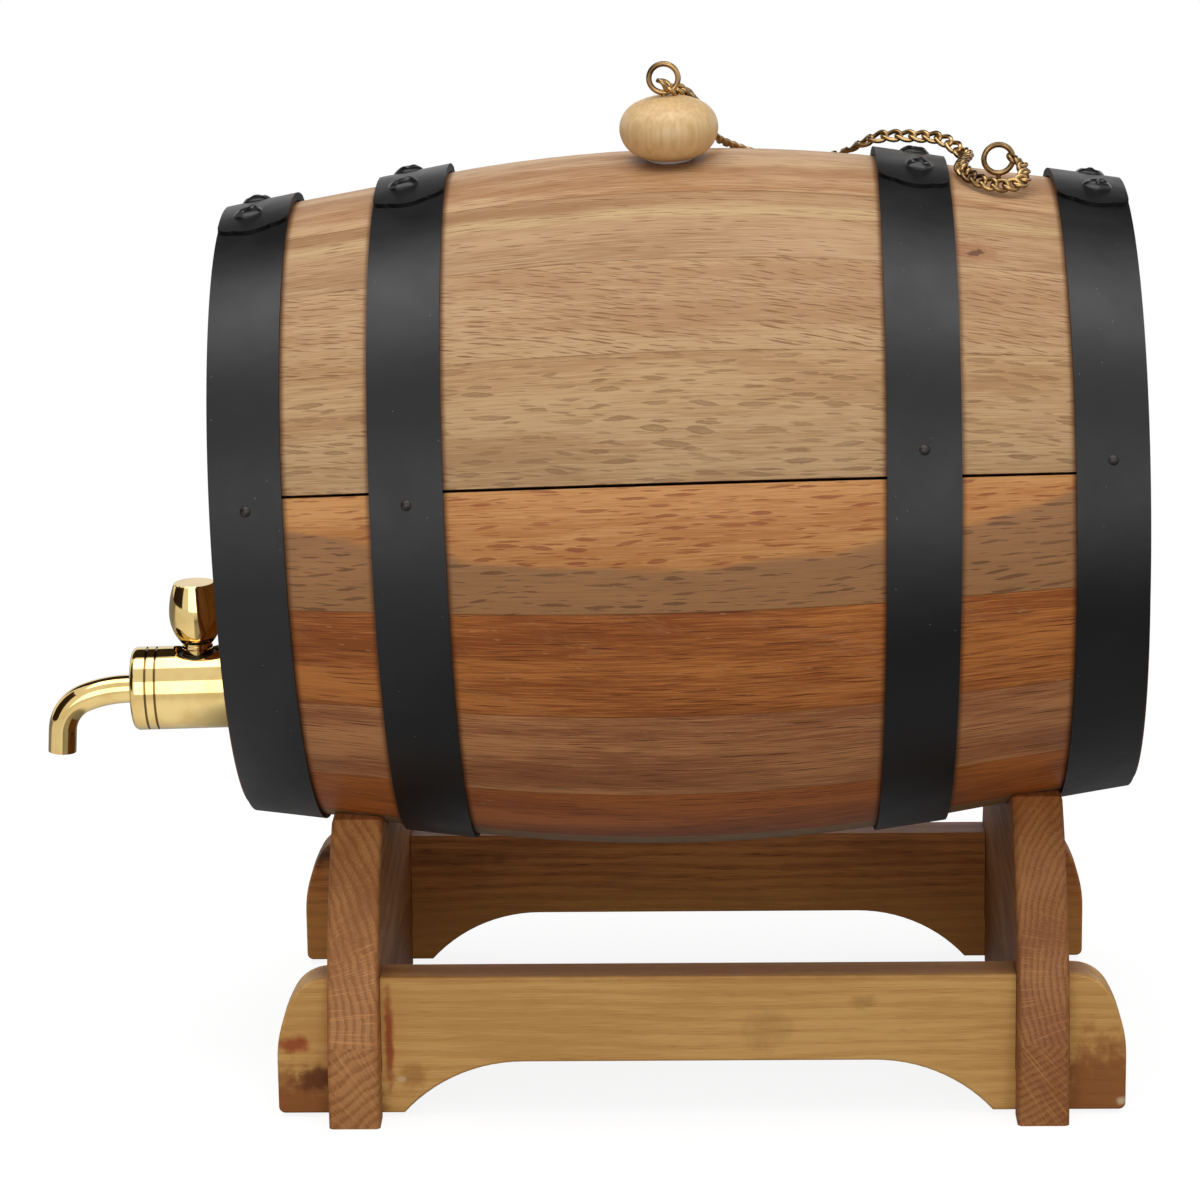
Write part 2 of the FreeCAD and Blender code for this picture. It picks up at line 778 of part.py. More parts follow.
def round_lap_end(body, name, radii):
    """Trims the free end of the lap, seen from above, to a bowed edge with rounded corners."""
    reach = f"({mid_radius(radii)} * sin(lap_angle / 2 * 1deg))"
    half = "(hoop_width / 2)"
    side_y = f"(-{reach} + lap_corner + lap_bulge)"
    corner_x = f"({half} - lap_corner)"
    bow_y = f"(-{reach} + lap_bulge)"
    bow_radius = "((hoop_width / 2 - lap_corner) ^ 2 / (2 * lap_bulge) + lap_bulge / 2)"
    beyond = f"(2 * {half})"
    below = f"(-{reach} - 3 * lap_corner)"
    sketch = new_sketch(body, f"{name}_lap_end", "XY_Plane")
    draw(sketch, [
        (f"(-{half})", side_y, "lap_corner"),
        (f"(-{corner_x})", bow_y, bow_radius),
        (corner_x, bow_y, "lap_corner"),
        (half, side_y),
        (beyond, side_y),
        (beyond, below),
        (f"(-{beyond})", below),
        (f"(-{beyond})", side_y),
    ])
    trim = body.newObject("PartDesign::Pocket", f"{name}_lap_trim")
    trim.Profile = sketch
    trim.Type = "ThroughAll"
    trim.Reversed = True
    return trim


def add_lap_ramp(body, name, radii, side):
    """The strip's climb over its own covered end, on the far side of the lap."""
    start = "(lap_angle / 2 - lap_ramp_angle / 20)"
    end = f"({start} + lap_ramp_angle)"
    buried = "(0.8 * hoop_thickness)"
    high = new_sketch(body, f"{name}_ramp_high", "XZ_Plane", place(angle=f"(-{start})"))
    band_outline(high, radii, buried, "2 * hoop_thickness", side)
    low = new_sketch(body, f"{name}_ramp_low", "XZ_Plane", place(angle=f"(-{end})"))
    band_outline(low, radii, buried, "hoop_thickness", side)
    ramp = body.newObject("PartDesign::AdditiveLoft", f"{name}_ramp")
    ramp.Profile = high
    ramp.Sections = [low]
    ramp.Ruled = True
    return ramp


def rivet_angles():
    """Angles of the lap's rivets, either side of the top of the cask."""
    return ["(90 - rivet_spread_angle)", "(90 + rivet_spread_angle)"]


def rivet_x(side):
    return f"({side} * rivet_offset)"


def rivet_seat(radii):
    """Radius just above the lap's outer face where the rivets stand."""
    return f"({mid_radius(radii)} - rivet_offset * {hoop_slope(radii)} + 2 * hoop_thickness + head_gap)"


def nail_seat(radii):
    """Radius just above the hoop's outer face where the nail heads stand."""
    return f"({mid_radius(radii)} + hoop_thickness + head_gap)"


def make_rivets():
    """Dimpled rivet heads on the laps, two on each hoop."""
    bodies = []
    for name, x, side, lean, drop in hoop_layout():
        radii = hoop_edge_radii(name, x)
        for order, angle in enumerate(rivet_angles()):
            label = f"{name}_rivet_{order}"
            where = on_cask(rivet_x(side), angle, rivet_seat(radii), slope_angle(radii, side))
            body = new_body(label, chained(CASK, hoop_frame(x, lean, drop), where))
            sketch = new_sketch(body, f"{label}_section", "XZ_Plane")
            shank = "(-2 * hoop_thickness)"
            floor = "(rivet_head_height - rivet_crater_depth)"
            draw(sketch, [
                ("0", shank),
                ("rivet_shank_radius", shank),
                ("rivet_shank_radius", "0"),
                ("rivet_head_radius", "0"),
                ("rivet_head_radius", "rivet_rim_height", "rivet_head_radius"),
                ("(1.5 * rivet_crater_radius)", "rivet_head_height"),
                ("rivet_crater_radius", "rivet_head_height", "(-rivet_head_radius)"),
                ("(rivet_crater_radius / 2)", floor),
                ("0", floor),
            ])
            revolve(body, f"{label}_turned", sketch, axis="V_Axis")
            bodies.append(body)
    group("lap_rivets", bodies)


def make_nails():
    """Small round-headed nails through the hoops into the staves."""
    bodies = []
    for name, x, side, lean, drop in hoop_layout():
        radii = hoop_edge_radii(name, x)
        for order, angle in enumerate(nail_places(name)):
            label = f"{name}_nail_{order}"
            where = on_cask(0, angle, nail_seat(radii), slope_angle(radii, side))
            body = new_body(label, chained(CASK, hoop_frame(x, lean, drop), where))
            sketch = new_sketch(body, f"{label}_section", "XZ_Plane")
            dome = "((nail_head_radius ^ 2 + nail_head_height ^ 2) / (2 * nail_head_height))"
            draw(sketch, [
                ("0", "(-nail_length)"),
                ("nail_shank_radius", "(2 * nail_shank_radius - nail_length)"),
                ("nail_shank_radius", "0"),
                ("nail_head_radius", "0", dome),
                ("0", "nail_head_height"),
            ])
            revolve(body, f"{label}_turned", sketch, axis="V_Axis")
            bodies.append(body)
    group("hoop_nails", bodies)


# ---------------------------------------------------------------- bung and chain

def make_bung():
    """A turned knob of pale wood with a plain shank that the seal grips."""
    body = new_part("bung_stopper", chained(CASK, BUNG))
    sketch = new_sketch(body, "bung_section", "XZ_Plane")
    crown_z = "(bung_height - bung_crown_drop)"
    crown_arc = "((bung_crown_radius ^ 2 + bung_crown_drop ^ 2) / (2 * bung_crown_drop))"
    draw(sketch, [
        ("0", "(-bung_shank_length)"),
        ("(bung_shank_radius - bung_shank_bevel)", "(-bung_shank_length)"),
        ("bung_shank_radius", "(bung_shank_bevel - bung_shank_length)"),
        ("bung_shank_radius", "0"),
        ("bung_base_radius", "0", "bung_under_curve"),
        ("bung_radius", "bung_waist_height", "bung_shoulder_curve"),
        ("bung_crown_radius", crown_z, crown_arc),
        ("0", "bung_height"),
    ])
    revolve(body, "bung_turned", sketch, axis="V_Axis")
    cut_cylinder(
        body, "bung_eye_pilot_hole", "(eye_shank_radius + pilot_clearance)", "2 * eye_shank_length",
        place("bung_eye_x", 0, "(bung_height - eye_shank_length - hole_spare)"),
    )


def make_bung_seal():
    """A soft flanged sleeve round the bung's shank."""
    body = new_part("bung_seal", chained(CASK, BUNG))
    sketch = new_sketch(body, "seal_section", "XZ_Plane")
    inside = "(bung_shank_radius + run_clearance)"
    draw(sketch, [
        (inside, "0"),
        (inside, "(-seal_length)"),
        ("(seal_radius - seal_bevel)", "(-seal_length)"),
        ("seal_radius", "(2 * seal_bevel - seal_length)"),
        ("seal_radius", "(-seal_flange_height)"),
        ("(seal_flange_radius - seal_bevel / 2)", "(-seal_flange_height)"),
        ("seal_flange_radius", "(seal_bevel / 2 - seal_flange_height)"),
        ("seal_flange_radius", "0"),
    ])
    revolve(body, "seal_turned", sketch, axis="V_Axis")


def make_screw_eye(label, neck, placement):
    """A screw eye whose shank end is at its origin and whose ring faces -Y."""
    body = new_part(label, placement)
    length = f"(eye_shank_length + {neck})"
    add_cylinder(body, f"{label}_shank", "eye_shank_radius", length, place(0, 0, 0))
    centre = f"({length} + eye_ring_radius)"
    add_torus(body, f"{label}_ring", "eye_ring_radius", "eye_wire_radius", place(0, 0, centre, "x", 90))


def make_eyes():
    foot = place("bung_eye_x", 0, "(bung_height - eye_shank_length)")
    make_screw_eye("bung_eye", "bung_eye_neck", chained(CASK, BUNG, foot))
    surface = f"({wood_radius_on_taper(CASK_EYE_X)} - eye_shank_length)"
    make_screw_eye("cask_eye", "eye_neck", chained(CASK, on_cask(CASK_EYE_X, "cask_eye_angle", surface)))


def smooth_route(points, steps):
    """Catmull-Rom curve through the points, as closely spaced positions."""
    padded = [points[0] * 2 - points[1], *points, points[-1] * 2 - points[-2]]
    curve = []
    for before, start, end, after in zip(padded, padded[1:], padded[2:], padded[3:]):
        for step in range(steps):
            t = step / steps
            curve.append((
                start * 2 + (end - before) * t
                + (before * 2 - start * 5 + end * 4 - after) * t ** 2
                + (start * 3 - before - end * 3 + after) * t ** 3
            ) * 0.5)
    curve.append(points[-1])
    return curve


def spaced_along(curve, pitch):
    """Evenly spaced positions from end to end, about a pitch apart, for an odd count of links."""
    runs = [(end - start).Length for start, end in zip(curve, curve[1:])]
    count = 2 * round((sum(runs) / pitch - 1) / 2) + 1
    step = sum(runs) / count
    places = [curve[0]]
    travelled = 0
    for start, end, run in zip(curve, curve[1:], runs):
        while len(places) < count and travelled + run >= len(places) * step:
            share = (len(places) * step - travelled) / run
            places.append(start + (end - start) * share)
        travelled += run
    return [*places, curve[-1]]


def chain_link(wire, bend, straight):
    """One oval link lying along X in the XY plane."""
    half = straight / 2
    end = Part.makeTorus(bend, wire, Vector(half, 0, 0), Vector(0, 0, 1), -180, 180, 180)
    end.rotate(Vector(half, 0, 0), Vector(0, 0, 1), -90)
    other = end.copy()
    other.rotate(Vector(0, 0, 0), Vector(0, 0, 1), 180)
    bars = [Part.makeCylinder(wire, straight, Vector(-half, y, 0), Vector(1, 0, 0)) for y in (-bend, bend)]
    return end.fuse([other, *bars]).removeSplitter()


def chain_route():
    """Points of the chain's middle line in the cask's frame."""
    ring_height = "(bung_height + bung_eye_neck + eye_ring_radius)"
    bung_ring = sheet.evalExpression(bound(chained(BUNG, place("bung_eye_x", 0, ring_height))))
    ring_radius = number(f"({wood_radius_on_taper(CASK_EYE_X)} + eye_neck + eye_ring_radius)")
    lean = math.radians(number("cask_eye_angle"))
    cask_ring = Vector(number(CASK_EYE_X), -ring_radius * math.cos(lean), ring_radius * math.sin(lean))
    points = [bung_ring.multVec(Vector(*offset)) for offset in CHAIN_FALL]
    to_hoop = number(f"({REAR_BILGE_X} - bung_x)")
    lying = [(number("bung_x") + share * to_hoop, y, height) for share, y, height in CHAIN_LIE]
    crossing = [(number(REAR_BILGE_X) + x, y, height) for x, y, height in CHAIN_CROSS]
    for x, y, height in lying + crossing:
        on_arc = abs(x) < number("bilge_arc_half")
        surface = wood_radius_on_arc(x) if on_arc else wood_radius_on_taper(x)
        points.append(Vector(x, y, math.sqrt((number(surface) + height) ** 2 - y ** 2)))
    points += [cask_ring + Vector(*offset) for offset in CHAIN_RISE]
    return points


def make_chain():
    """Oval links along the route, each turned a quarter against the one before."""
    link = chain_link(number("link_wire_radius"), number("link_bend_radius"), number("link_straight"))
    places = spaced_along(smooth_route(chain_route(), ROUTE_STEPS), number("link_pitch"))
    links = []
    for index, (start, end) in enumerate(zip(places, places[1:])):
        middle = (start + end) * 0.5
        along = (end - start).normalize()
        outward = Vector(0, middle.y, middle.z).normalize()
        across = outward.cross(along).normalize()
        facing = Rotation(along, across, Vector(0, 0, 1), "XYZ")
        from_end = min(index, len(places) - 2 - index)
        lie = min(LINK_ROLL_LYING, LINK_ROLL_STEP * from_end)
        turn = Rotation(Vector(1, 0, 0), 90 * (index % 2) + lie)
        piece = link.copy()
        piece.Placement = Placement(middle, facing * turn)
        links.append(piece)
    chain = doc.addObject("Part::Feature", "chain")
    chain.Label = "chain"
    chain.Shape = Part.makeCompound(links)
    chain.Placement = Placement(
        Vector(number(CASK_X), 0, number("axis_height")),
        Rotation(Vector(0, 1, 0), -number("cask_tilt")),
    )
    parts.append(chain)


# ---------------------------------------------------------------- tap

BODY_LENGTH = "(tap_reach + head_recess - washer_thickness)"
SHANK_END = f"({BODY_LENGTH} + tap_shank_length)"


def make_tap_body():
    """The barrel of the tap with its shank through the head, bored from end to end."""
    body = new_part("tap_body", TAP)
    sketch = new_sketch(body, "tap_section", "XZ_Plane")
    floor = "(tap_radius - tap_groove_depth)"
    grooves = []
    for start in ("tap_groove_first", "tap_groove_second"):
        stop = f"({start} + tap_groove_width)"
        grooves += [(start, "tap_radius"), (start, floor), (stop, floor), (stop, "tap_radius")]
    socket = "(spout_radius + run_clearance)"
    draw(sketch, [
        ("0", socket),
        ("0", "(tap_radius - tap_edge_radius)", "-tap_edge_radius"),
        ("tap_edge_radius", "tap_radius"),
        *grooves,
        (BODY_LENGTH, "tap_radius"),
        (BODY_LENGTH, "tap_shank_radius"),
        (SHANK_END, "tap_shank_radius"),
        (SHANK_END, "tap_bore_radius"),
        ("spout_root", "tap_bore_radius"),
        ("spout_root", socket),
    ])
    revolve(body, "tap_turned", sketch)
    cut_cylinder(
        body, "valve_bore", "valve_radius", "(valve_depth + tap_radius)",
        place("valve_x", 0, "-valve_depth"),
    )
    cut_cylinder(body, "valve_recess", "recess_radius", "tap_radius", place("valve_x", 0, "recess_floor"))


def make_tap_spout():
    """The bent outlet tube, standing in the front of the barrel."""
    body = new_part("tap_spout", TAP)
    first_x = "(-spout_straight - spout_fall_radius * sin(spout_fall_angle * 1deg))"
    first_z = "(-spout_fall_radius * (1 - cos(spout_fall_angle * 1deg)))"
    second_x = f"({SPOUT_END_X} + spout_tip_length * cos({SPOUT_TURN} * 1deg))"
    second_z = f"({SPOUT_END_Z} + spout_tip_length * sin({SPOUT_TURN} * 1deg))"
    path = new_sketch(body, "spout_path", "XZ_Plane")
    draw(path, [
        ("(spout_root - run_clearance)", "0"),
        ("(-spout_straight)", "0", "spout_fall_radius"),
        (first_x, first_z, "spout_bend_radius"),
        (second_x, second_z),
        (SPOUT_END_X, SPOUT_END_Z),
    ], closed=False)
    section = new_sketch(body, "spout_section", "YZ_Plane", place(0, 0, "(spout_root - run_clearance)"))
    draw_circle(section, "spout_radius")
    draw_circle(section, "spout_bore_radius")
    tube = body.newObject("PartDesign::AdditivePipe", "spout_tube")
    tube.Profile = section
    tube.Spine = (path, [])


def make_tap_valve():
    """The turning core of the tap and the gland that keeps it in."""
    core = new_part("tap_plug", chained(TAP, place("valve_x", 0, 0)))
    sketch = new_sketch(core, "plug_section", "XZ_Plane")
    core_radius = "(valve_radius - run_clearance)"
    stem_top = "(collar_top + knob_gap + knob_socket_depth - run_clearance)"
    core_top = "(gland_seat - run_clearance)"
    draw(sketch, [
        ("0", "(valve_floor_gap - valve_depth)"),
        (core_radius, "(valve_floor_gap - valve_depth)"),
        (core_radius, core_top),
        ("stem_radius", core_top),
        ("stem_radius", stem_top),
        ("0", stem_top),
    ])
    revolve(core, "plug_turned", sketch, axis="V_Axis")
    cut_cylinder(
        core, "plug_port", "tap_bore_radius", "4 * valve_radius",
        place(0, "2 * valve_radius", 0, "x", 90),
    )
    gland = new_part("tap_gland", chained(TAP, place("valve_x", 0, 0)))
    sketch = new_sketch(gland, "gland_section", "XZ_Plane")
    bore = "(stem_radius + run_clearance)"
    draw(sketch, [
        (bore, "gland_seat"),
        (core_radius, "gland_seat"),
        (core_radius, "recess_floor"),
        ("collar_radius", "recess_floor"),
        ("collar_radius", "collar_top"),
        (bore, "collar_top"),
    ])
    revolve(gland, "gland_turned", sketch, axis="V_Axis")
    ring = new_part("tap_o_ring", chained(TAP, place("valve_x", 0, 0)))
    add_torus(
        ring, "o_ring_torus", "(collar_radius + o_ring_wire_radius + run_clearance)",
        "o_ring_wire_radius", place(0, 0, "(recess_floor + o_ring_wire_radius + run_clearance)"),
    )


def make_tap_knob():
    """The barrel-shaped knob, pressed on the stem."""
    body = new_part("tap_knob", chained(TAP, place("valve_x", 0, "(collar_top + knob_gap)")))
    sketch = new_sketch(body, "knob_section", "XZ_Plane")
    socket = "(stem_radius + run_clearance / 2)"
    draw(sketch, [
        (socket, "0"),
        ("knob_foot_radius", "0"),
        ("knob_foot_radius", "(knob_foot_height / 2)"),
        ("(knob_foot_radius - knob_line)", "(knob_foot_height / 2)"),
        ("(knob_foot_radius - knob_line)", "knob_foot_height"),
        ("(knob_foot_radius + knob_line)", "knob_foot_height", "knob_lower_curve"),
        ("knob_belly_radius", "knob_belly_height", "knob_upper_curve"),
        ("knob_top_radius", "(knob_height - knob_line)"),
        ("(knob_top_radius - knob_line)", "knob_height"),
        ("0", "knob_height"),
        ("0", "knob_socket_depth"),
        (socket, "knob_socket_depth"),
    ])
    revolve(body, "knob_turned", sketch, axis="V_Axis")


def make_washer(label, x):
    body = new_part(label, chained(TAP, place(x, 0, 0)))
    sketch = new_sketch(body, f"{label}_section", "XZ_Plane")
    inside = "(tap_shank_radius + run_clearance)"
    draw(sketch, [
        ("0", inside),
        ("0", "washer_radius"),
        ("washer_thickness", "washer_radius"),
        ("washer_thickness", inside),
    ])
    revolve(body, f"{label}_turned", sketch)


def make_tap_fixing():
    """Sealing washers on both sides of the head, and the nut inside the cask."""
    make_washer("tap_washer_outer", BODY_LENGTH)
    make_washer("tap_washer_inner", f"({BODY_LENGTH} + washer_thickness + head_thickness)")
    body = new_part("tap_nut", chained(TAP, place(f"({BODY_LENGTH} + 2 * washer_thickness + head_thickness)")))
    sketch = new_sketch(body, "nut_section", "YZ_Plane", place(0, 0, "nut_thickness / 2"))
    corner = "(nut_across_flats / sqrt(3))"
    turned = [(f"({corner} * cos({60 * k} * 1deg))", f"({corner} * sin({60 * k} * 1deg))") for k in range(6)]
    draw(sketch, turned)
    pad(body, "nut_hexagon", sketch, "nut_thickness")
    cut_cylinder(
        body, "nut_bore", "(tap_shank_radius + run_clearance)", "2 * nut_thickness",
        place("(-nut_thickness / 2)", 0, 0, "y", 90),
    )


# ---------------------------------------------------------------- stand

def make_rail(label, side):
    """A side rail: shouldered ends, a long arch below and two notches above for the cradles."""
    body = new_part(label, place(STAND_X, f"({side} * {RAIL_Y})", 0))
    front = f"({CRADLE_X} + {label}_front_overhang)"
    rear = f"({CRADLE_X} + {label}_rear_overhang)"
    arch_half = f"({CRADLE_X} - arch_inset)"
    reach = "(rail_side_radius - rail_shoulder_radius)"
    rise = "(rail_top - rail_shoulder_radius - rail_end_straight)"
    inset = f"(rail_side_radius - sqrt({reach} ^ 2 - {rise} ^ 2))"
    join_x = f"(rail_side_radius + ({inset} - rail_side_radius) * rail_side_radius / {reach})"
    join_z = f"(rail_end_straight + {rise} * rail_side_radius / {reach})"
    drop = "(arch_height)"
    run = f"sqrt(2 * arch_end_radius * {drop} - {drop} ^ 2)"
    arch_flat = f"({arch_half} - {run})"
    arch_top = "(rail_base + arch_height)"
    foot = "(rail_base + rail_foot_radius)"
    sketch = new_sketch(body, f"{label}_side_view", "XZ_Plane")
    draw(sketch, [
        (f"(-{front})", foot),
        (f"(-{front})", "rail_end_straight", "-rail_side_radius"),
        (f"({join_x} - {front})", join_z, "-rail_shoulder_radius"),
        (f"({inset} - {front})", "rail_top"),
        (f"({rear} - {inset})", "rail_top", "-rail_shoulder_radius"),
        (f"({rear} - {join_x})", join_z, "-rail_side_radius"),
        (rear, "rail_end_straight"),
        (rear, foot, "-rail_foot_radius"),
        (f"({rear} - rail_foot_radius)", "rail_base"),
        (arch_half, "rail_base", "arch_end_radius"),
        (arch_flat, arch_top),
        (f"(-{arch_flat})", arch_top, "arch_end_radius"),
        (f"(-{arch_half})", "rail_base"),
        (f"(rail_foot_radius - {front})", "rail_base", "-rail_foot_radius"),
    ])
    pad(body, f"{label}_board", sketch, "rail_thickness")
    face = number("rail_thickness") / 2
    ease_edges(body, f"{label}_easing", "rail_easing", lambda edge: abs(edge.CenterOfMass.y) > 0.99 * face)
    notch = "(cradle_thickness + 2 * lap_joint_clearance)"
    for order, sign in enumerate((-1, 1)):
        cut_box(
            body, f"{label}_notch_{order}", (notch, "2 * rail_thickness", "rail_top"),
            place(f"({sign} * {CRADLE_X} - {notch} / 2)", "-rail_thickness", "lap_joint_height"),
        )
    return body


def cradle_offset(side):
    """Where a cradle's middle is, along X from mid-cask."""
    return REAR_CRADLE if side > 0 else f"(-{FRONT_CRADLE})"


def saddle_radius(side):
    return f"({wood_radius_on_taper(cradle_offset(side))} + rest_gap)"


def horn_top(side):
    """Height of the horns' flat tops, above the lowest point of the saddle."""
    axis = f"(axis_height + {cradle_offset(side)} * tan(cask_tilt * 1deg))"
    return f"({axis} - {saddle_radius(side)} + horn_rise)"


def horn_y(side):
    """Half the width over the horns: half the saddle's opening and one flat tip."""
    return f"(sqrt(2 * {saddle_radius(side)} * horn_rise - horn_rise ^ 2) + horn_tip)"


def cradle_arc(side):
    """Radius of the outer edge from the foot, where it is upright, to the horn."""
    inward = f"(cradle_half_width - {horn_y(side)})"
    upward = f"({horn_top(side)} - cradle_foot)"
    return f"(({inward} ^ 2 + {upward} ^ 2) / (2 * {inward}))"


def cradle_split_y(side):
    """Half the cradle's width at the glue line."""
    radius = cradle_arc(side)
    return f"(cradle_half_width - {radius} + sqrt({radius} ^ 2 - (cradle_split - cradle_foot) ^ 2))"


def make_cradle(end, side):
    """A cross cradle glued up from two boards, halved over the rails and hollowed for the cask."""
    make_cradle_foot(end, side)
    x = f"({CASK_X} + {cradle_offset(side)})"
    upper = new_part(f"cradle_{end}_upper", place(x, 0, 0))
    split_y = cradle_split_y(side)
    cradle_board(upper, [
        (f"(-{split_y})", "cradle_split", f"(-{cradle_arc(side)})"),
        (f"(-{horn_y(side)})", horn_top(side)),
        (horn_y(side), horn_top(side), f"(-{cradle_arc(side)})"),
        (split_y, "cradle_split"),
    ])
    round_horns(upper, horn_top(side))
    cut_saddle(upper, end, side)


def make_cradle_foot(end, side):
    """The lower board of a cradle, notched from below over both rails."""
    x = f"({CASK_X} + {cradle_offset(side)})"
    lower = new_part(f"cradle_{end}_lower", place(x, 0, 0))
    split_y = cradle_split_y(side)
    cradle_board(lower, [
        ("(-cradle_half_width)", "0"),
        ("(-cradle_half_width)", "cradle_foot", f"(-{cradle_arc(side)})"),
        (f"(-{split_y})", "cradle_split"),
        (split_y, "cradle_split", f"(-{cradle_arc(side)})"),
        ("cradle_half_width", "cradle_foot"),
        ("cradle_half_width", "0"),
    ])
    notch = "(rail_thickness + 2 * lap_joint_clearance)"
    for order, sign in enumerate((-1, 1)):
        cut_box(
            lower, f"cradle_{end}_notch_{order}", ("2 * cradle_thickness", notch, "2 * lap_joint_height"),
            place("-cradle_thickness", f"({sign} * {RAIL_Y} - {notch} / 2)", "-lap_joint_height"),
        )


def cradle_board(body, corners):
    """A board of the cradle, with the long edges of its curved sides eased."""
    sketch = new_sketch(body, f"{body.Label}_end_view", "YZ_Plane")
    draw(sketch, corners)
    pad(body, f"{body.Label}_board", sketch, "cradle_thickness")
    face = number("cradle_thickness") / 2

    def on_curved_side(edge):
        return edge.Curve.TypeId == "Part::GeomCircle" and abs(edge.CenterOfMass.x) > 0.99 * face

    ease_edges(body, f"{body.Label}_easing", "cradle_easing", on_curved_side)


def round_horns(body, top):
    """Rounds the long edges of the horns' tops, across the whole board."""
    sketch = new_sketch(body, f"{body.Label}_horn_view", "XZ_Plane")
    for sign in (1, -1):
        edge = f"({sign} * cradle_thickness / 2)"
        inside = f"({sign} * (cradle_thickness / 2 - cradle_easing))"
        outside = f"({sign} * (cradle_thickness / 2 + cradle_easing))"
        draw(sketch, [
            (inside, top, f"({-sign} * cradle_easing)"),
            (edge, f"({top} - cradle_easing)"),
            (outside, f"({top} - cradle_easing)"),
            (outside, f"({top} + cradle_easing)"),
            (inside, f"({top} + cradle_easing)"),
        ])
    rounding = body.newObject("PartDesign::Pocket", f"{body.Label}_rounding")
    rounding.Profile = sketch
    rounding.Type = "ThroughAll"
    rounding.Midplane = True


def cut_saddle(body, end, side):
    """Hollows the cradle to the cask's taper, a rest_gap clear of the staves."""
    offset = cradle_offset(side)
    begin = f"({offset} - cradle_thickness)"
    cone = body.newObject("PartDesign::SubtractiveCone", f"cradle_{end}_saddle")
    cone.setExpression("Radius1", bound(f"{wood_radius_on_taper(begin)} + rest_gap"))
    cone.setExpression("Radius2", bound(f"{wood_radius_on_taper(f'({offset} + cradle_thickness)')} + rest_gap"))
    cone.setExpression("Height", bound("2 * cradle_thickness"))
    cone.setExpression("Placement", bound(place(
        f"({begin} * cos(cask_tilt * 1deg) - {offset})", 0,
        f"(axis_height + {begin} * sin(cask_tilt * 1deg))", "y", "(90 - cask_tilt)",
    )))


# ---------------------------------------------------------------- assembly

for stave_index in range(1, STAVE_COUNT + 1):
    make_stave(stave_index)
make_front_head()
make_head("head_rear", 1)
for hoop in hoop_layout():
    make_hoop(*hoop)
make_rivets()
make_nails()
make_bung()
make_bung_seal()
make_eyes()
make_chain()
make_tap_body()
make_tap_spout()
make_tap_valve()
make_tap_knob()
make_tap_fixing()
make_rail("rail_right", -1)
make_rail("rail_left", 1)
make_cradle("front", -1)
make_cradle("rear", 1)
doc.recompute()

for item in doc.Objects:
    if "Invalid" in item.State or "Error" in item.State:
        raise RuntimeError(f"{item.Label} did not compute: {item.State}")
for piece in parts:
    if piece.Shape.isNull() or not piece.Shape.isValid():
        raise RuntimeError(f"{piece.Label} has no valid shape")
    for solid in piece.Shape.Solids:
        if solid.Volume <= 0:
            raise RuntimeError(f"{piece.Label} has an empty solid")

os.makedirs("parts", exist_ok=True)
for piece in parts:
    piece.Shape.exportStep(f"parts/{piece.Label}.step")
print(f"{len(parts)} pieces written")
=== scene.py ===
"""Looks of a small oak cask liquor dispenser on its stand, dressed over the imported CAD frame."""

import math
from functools import reduce
from types import SimpleNamespace

import bmesh
import bpy
import numpy as np
from mathutils import Matrix, Vector


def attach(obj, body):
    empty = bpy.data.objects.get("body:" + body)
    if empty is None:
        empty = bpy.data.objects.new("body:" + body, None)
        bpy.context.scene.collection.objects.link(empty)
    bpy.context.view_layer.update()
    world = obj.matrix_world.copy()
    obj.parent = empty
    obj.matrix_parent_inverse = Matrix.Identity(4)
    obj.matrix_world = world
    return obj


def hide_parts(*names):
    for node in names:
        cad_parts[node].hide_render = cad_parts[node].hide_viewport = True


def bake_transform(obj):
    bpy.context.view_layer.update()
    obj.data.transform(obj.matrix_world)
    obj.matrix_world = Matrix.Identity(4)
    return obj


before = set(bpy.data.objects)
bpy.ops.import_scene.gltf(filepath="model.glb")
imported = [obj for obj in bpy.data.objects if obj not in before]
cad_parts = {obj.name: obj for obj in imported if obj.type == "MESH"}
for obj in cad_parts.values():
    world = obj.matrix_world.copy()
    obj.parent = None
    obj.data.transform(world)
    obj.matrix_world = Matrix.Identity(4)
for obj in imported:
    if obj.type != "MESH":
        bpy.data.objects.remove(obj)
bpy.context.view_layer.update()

# Lengths are in mm, unless a name or comment says otherwise.
MM = 0.001
CASK_CENTRE = (31.358, 0, 173.3)
# The cask's rear end lies a little higher than its front end.
CASK_TILT = math.radians(1.3)
HALF_LEN = 135
HOOP_WIDTH = 21.4
# Middle of each hoop along the cask and the tangent of its lean.
HOOPS = ((-124.3, -0.014), (-77.5, -0.0087), (69.6, 0.0262), (124.3, 0.0122))
# Angles round the cask are in degrees, from the near side upwards. Stave n lies between seams n - 1 and n.
SEAMS = (110, 70, 52.9, 35.5, 14.6, -5.5, -24, -42.9, -61.7, -80.6, -99.4, -118.2, -137.1, -155.9,
         -174.7, -193.5, -212.4, -231.2, -250)
# Places round the cask are arcs on this radius.
ARC_RADIUS = 100.0
ARC_PER_DEGREE = ARC_RADIUS * math.radians(1)
BUNG_STAVE = 1
BUNG_ALONG = -0.2
BUNG_ANGLE = 84.3
BOARD_WIDTH = 34
# The grooves round the tap's barrel, along the cask's axis.
TAP_GROOVES = (-168.3, -165.3)


# ---------------------------------------------------------------- colours and node graphs

def rgb(red, green, blue):
    """A colour given as 8-bit sRGB numbers, as a linear RGBA."""
    def linear(value):
        value /= 255
        return value / 12.92 if value <= 0.04045 else ((value + 0.055) / 1.055) ** 2.4
    return (linear(red), linear(green), linear(blue), 1.0)


def shaded(colour, factor):
    """An 8-bit colour made darker or lighter, as a linear RGBA."""
    return rgb(*(min(255, part * factor) for part in colour))


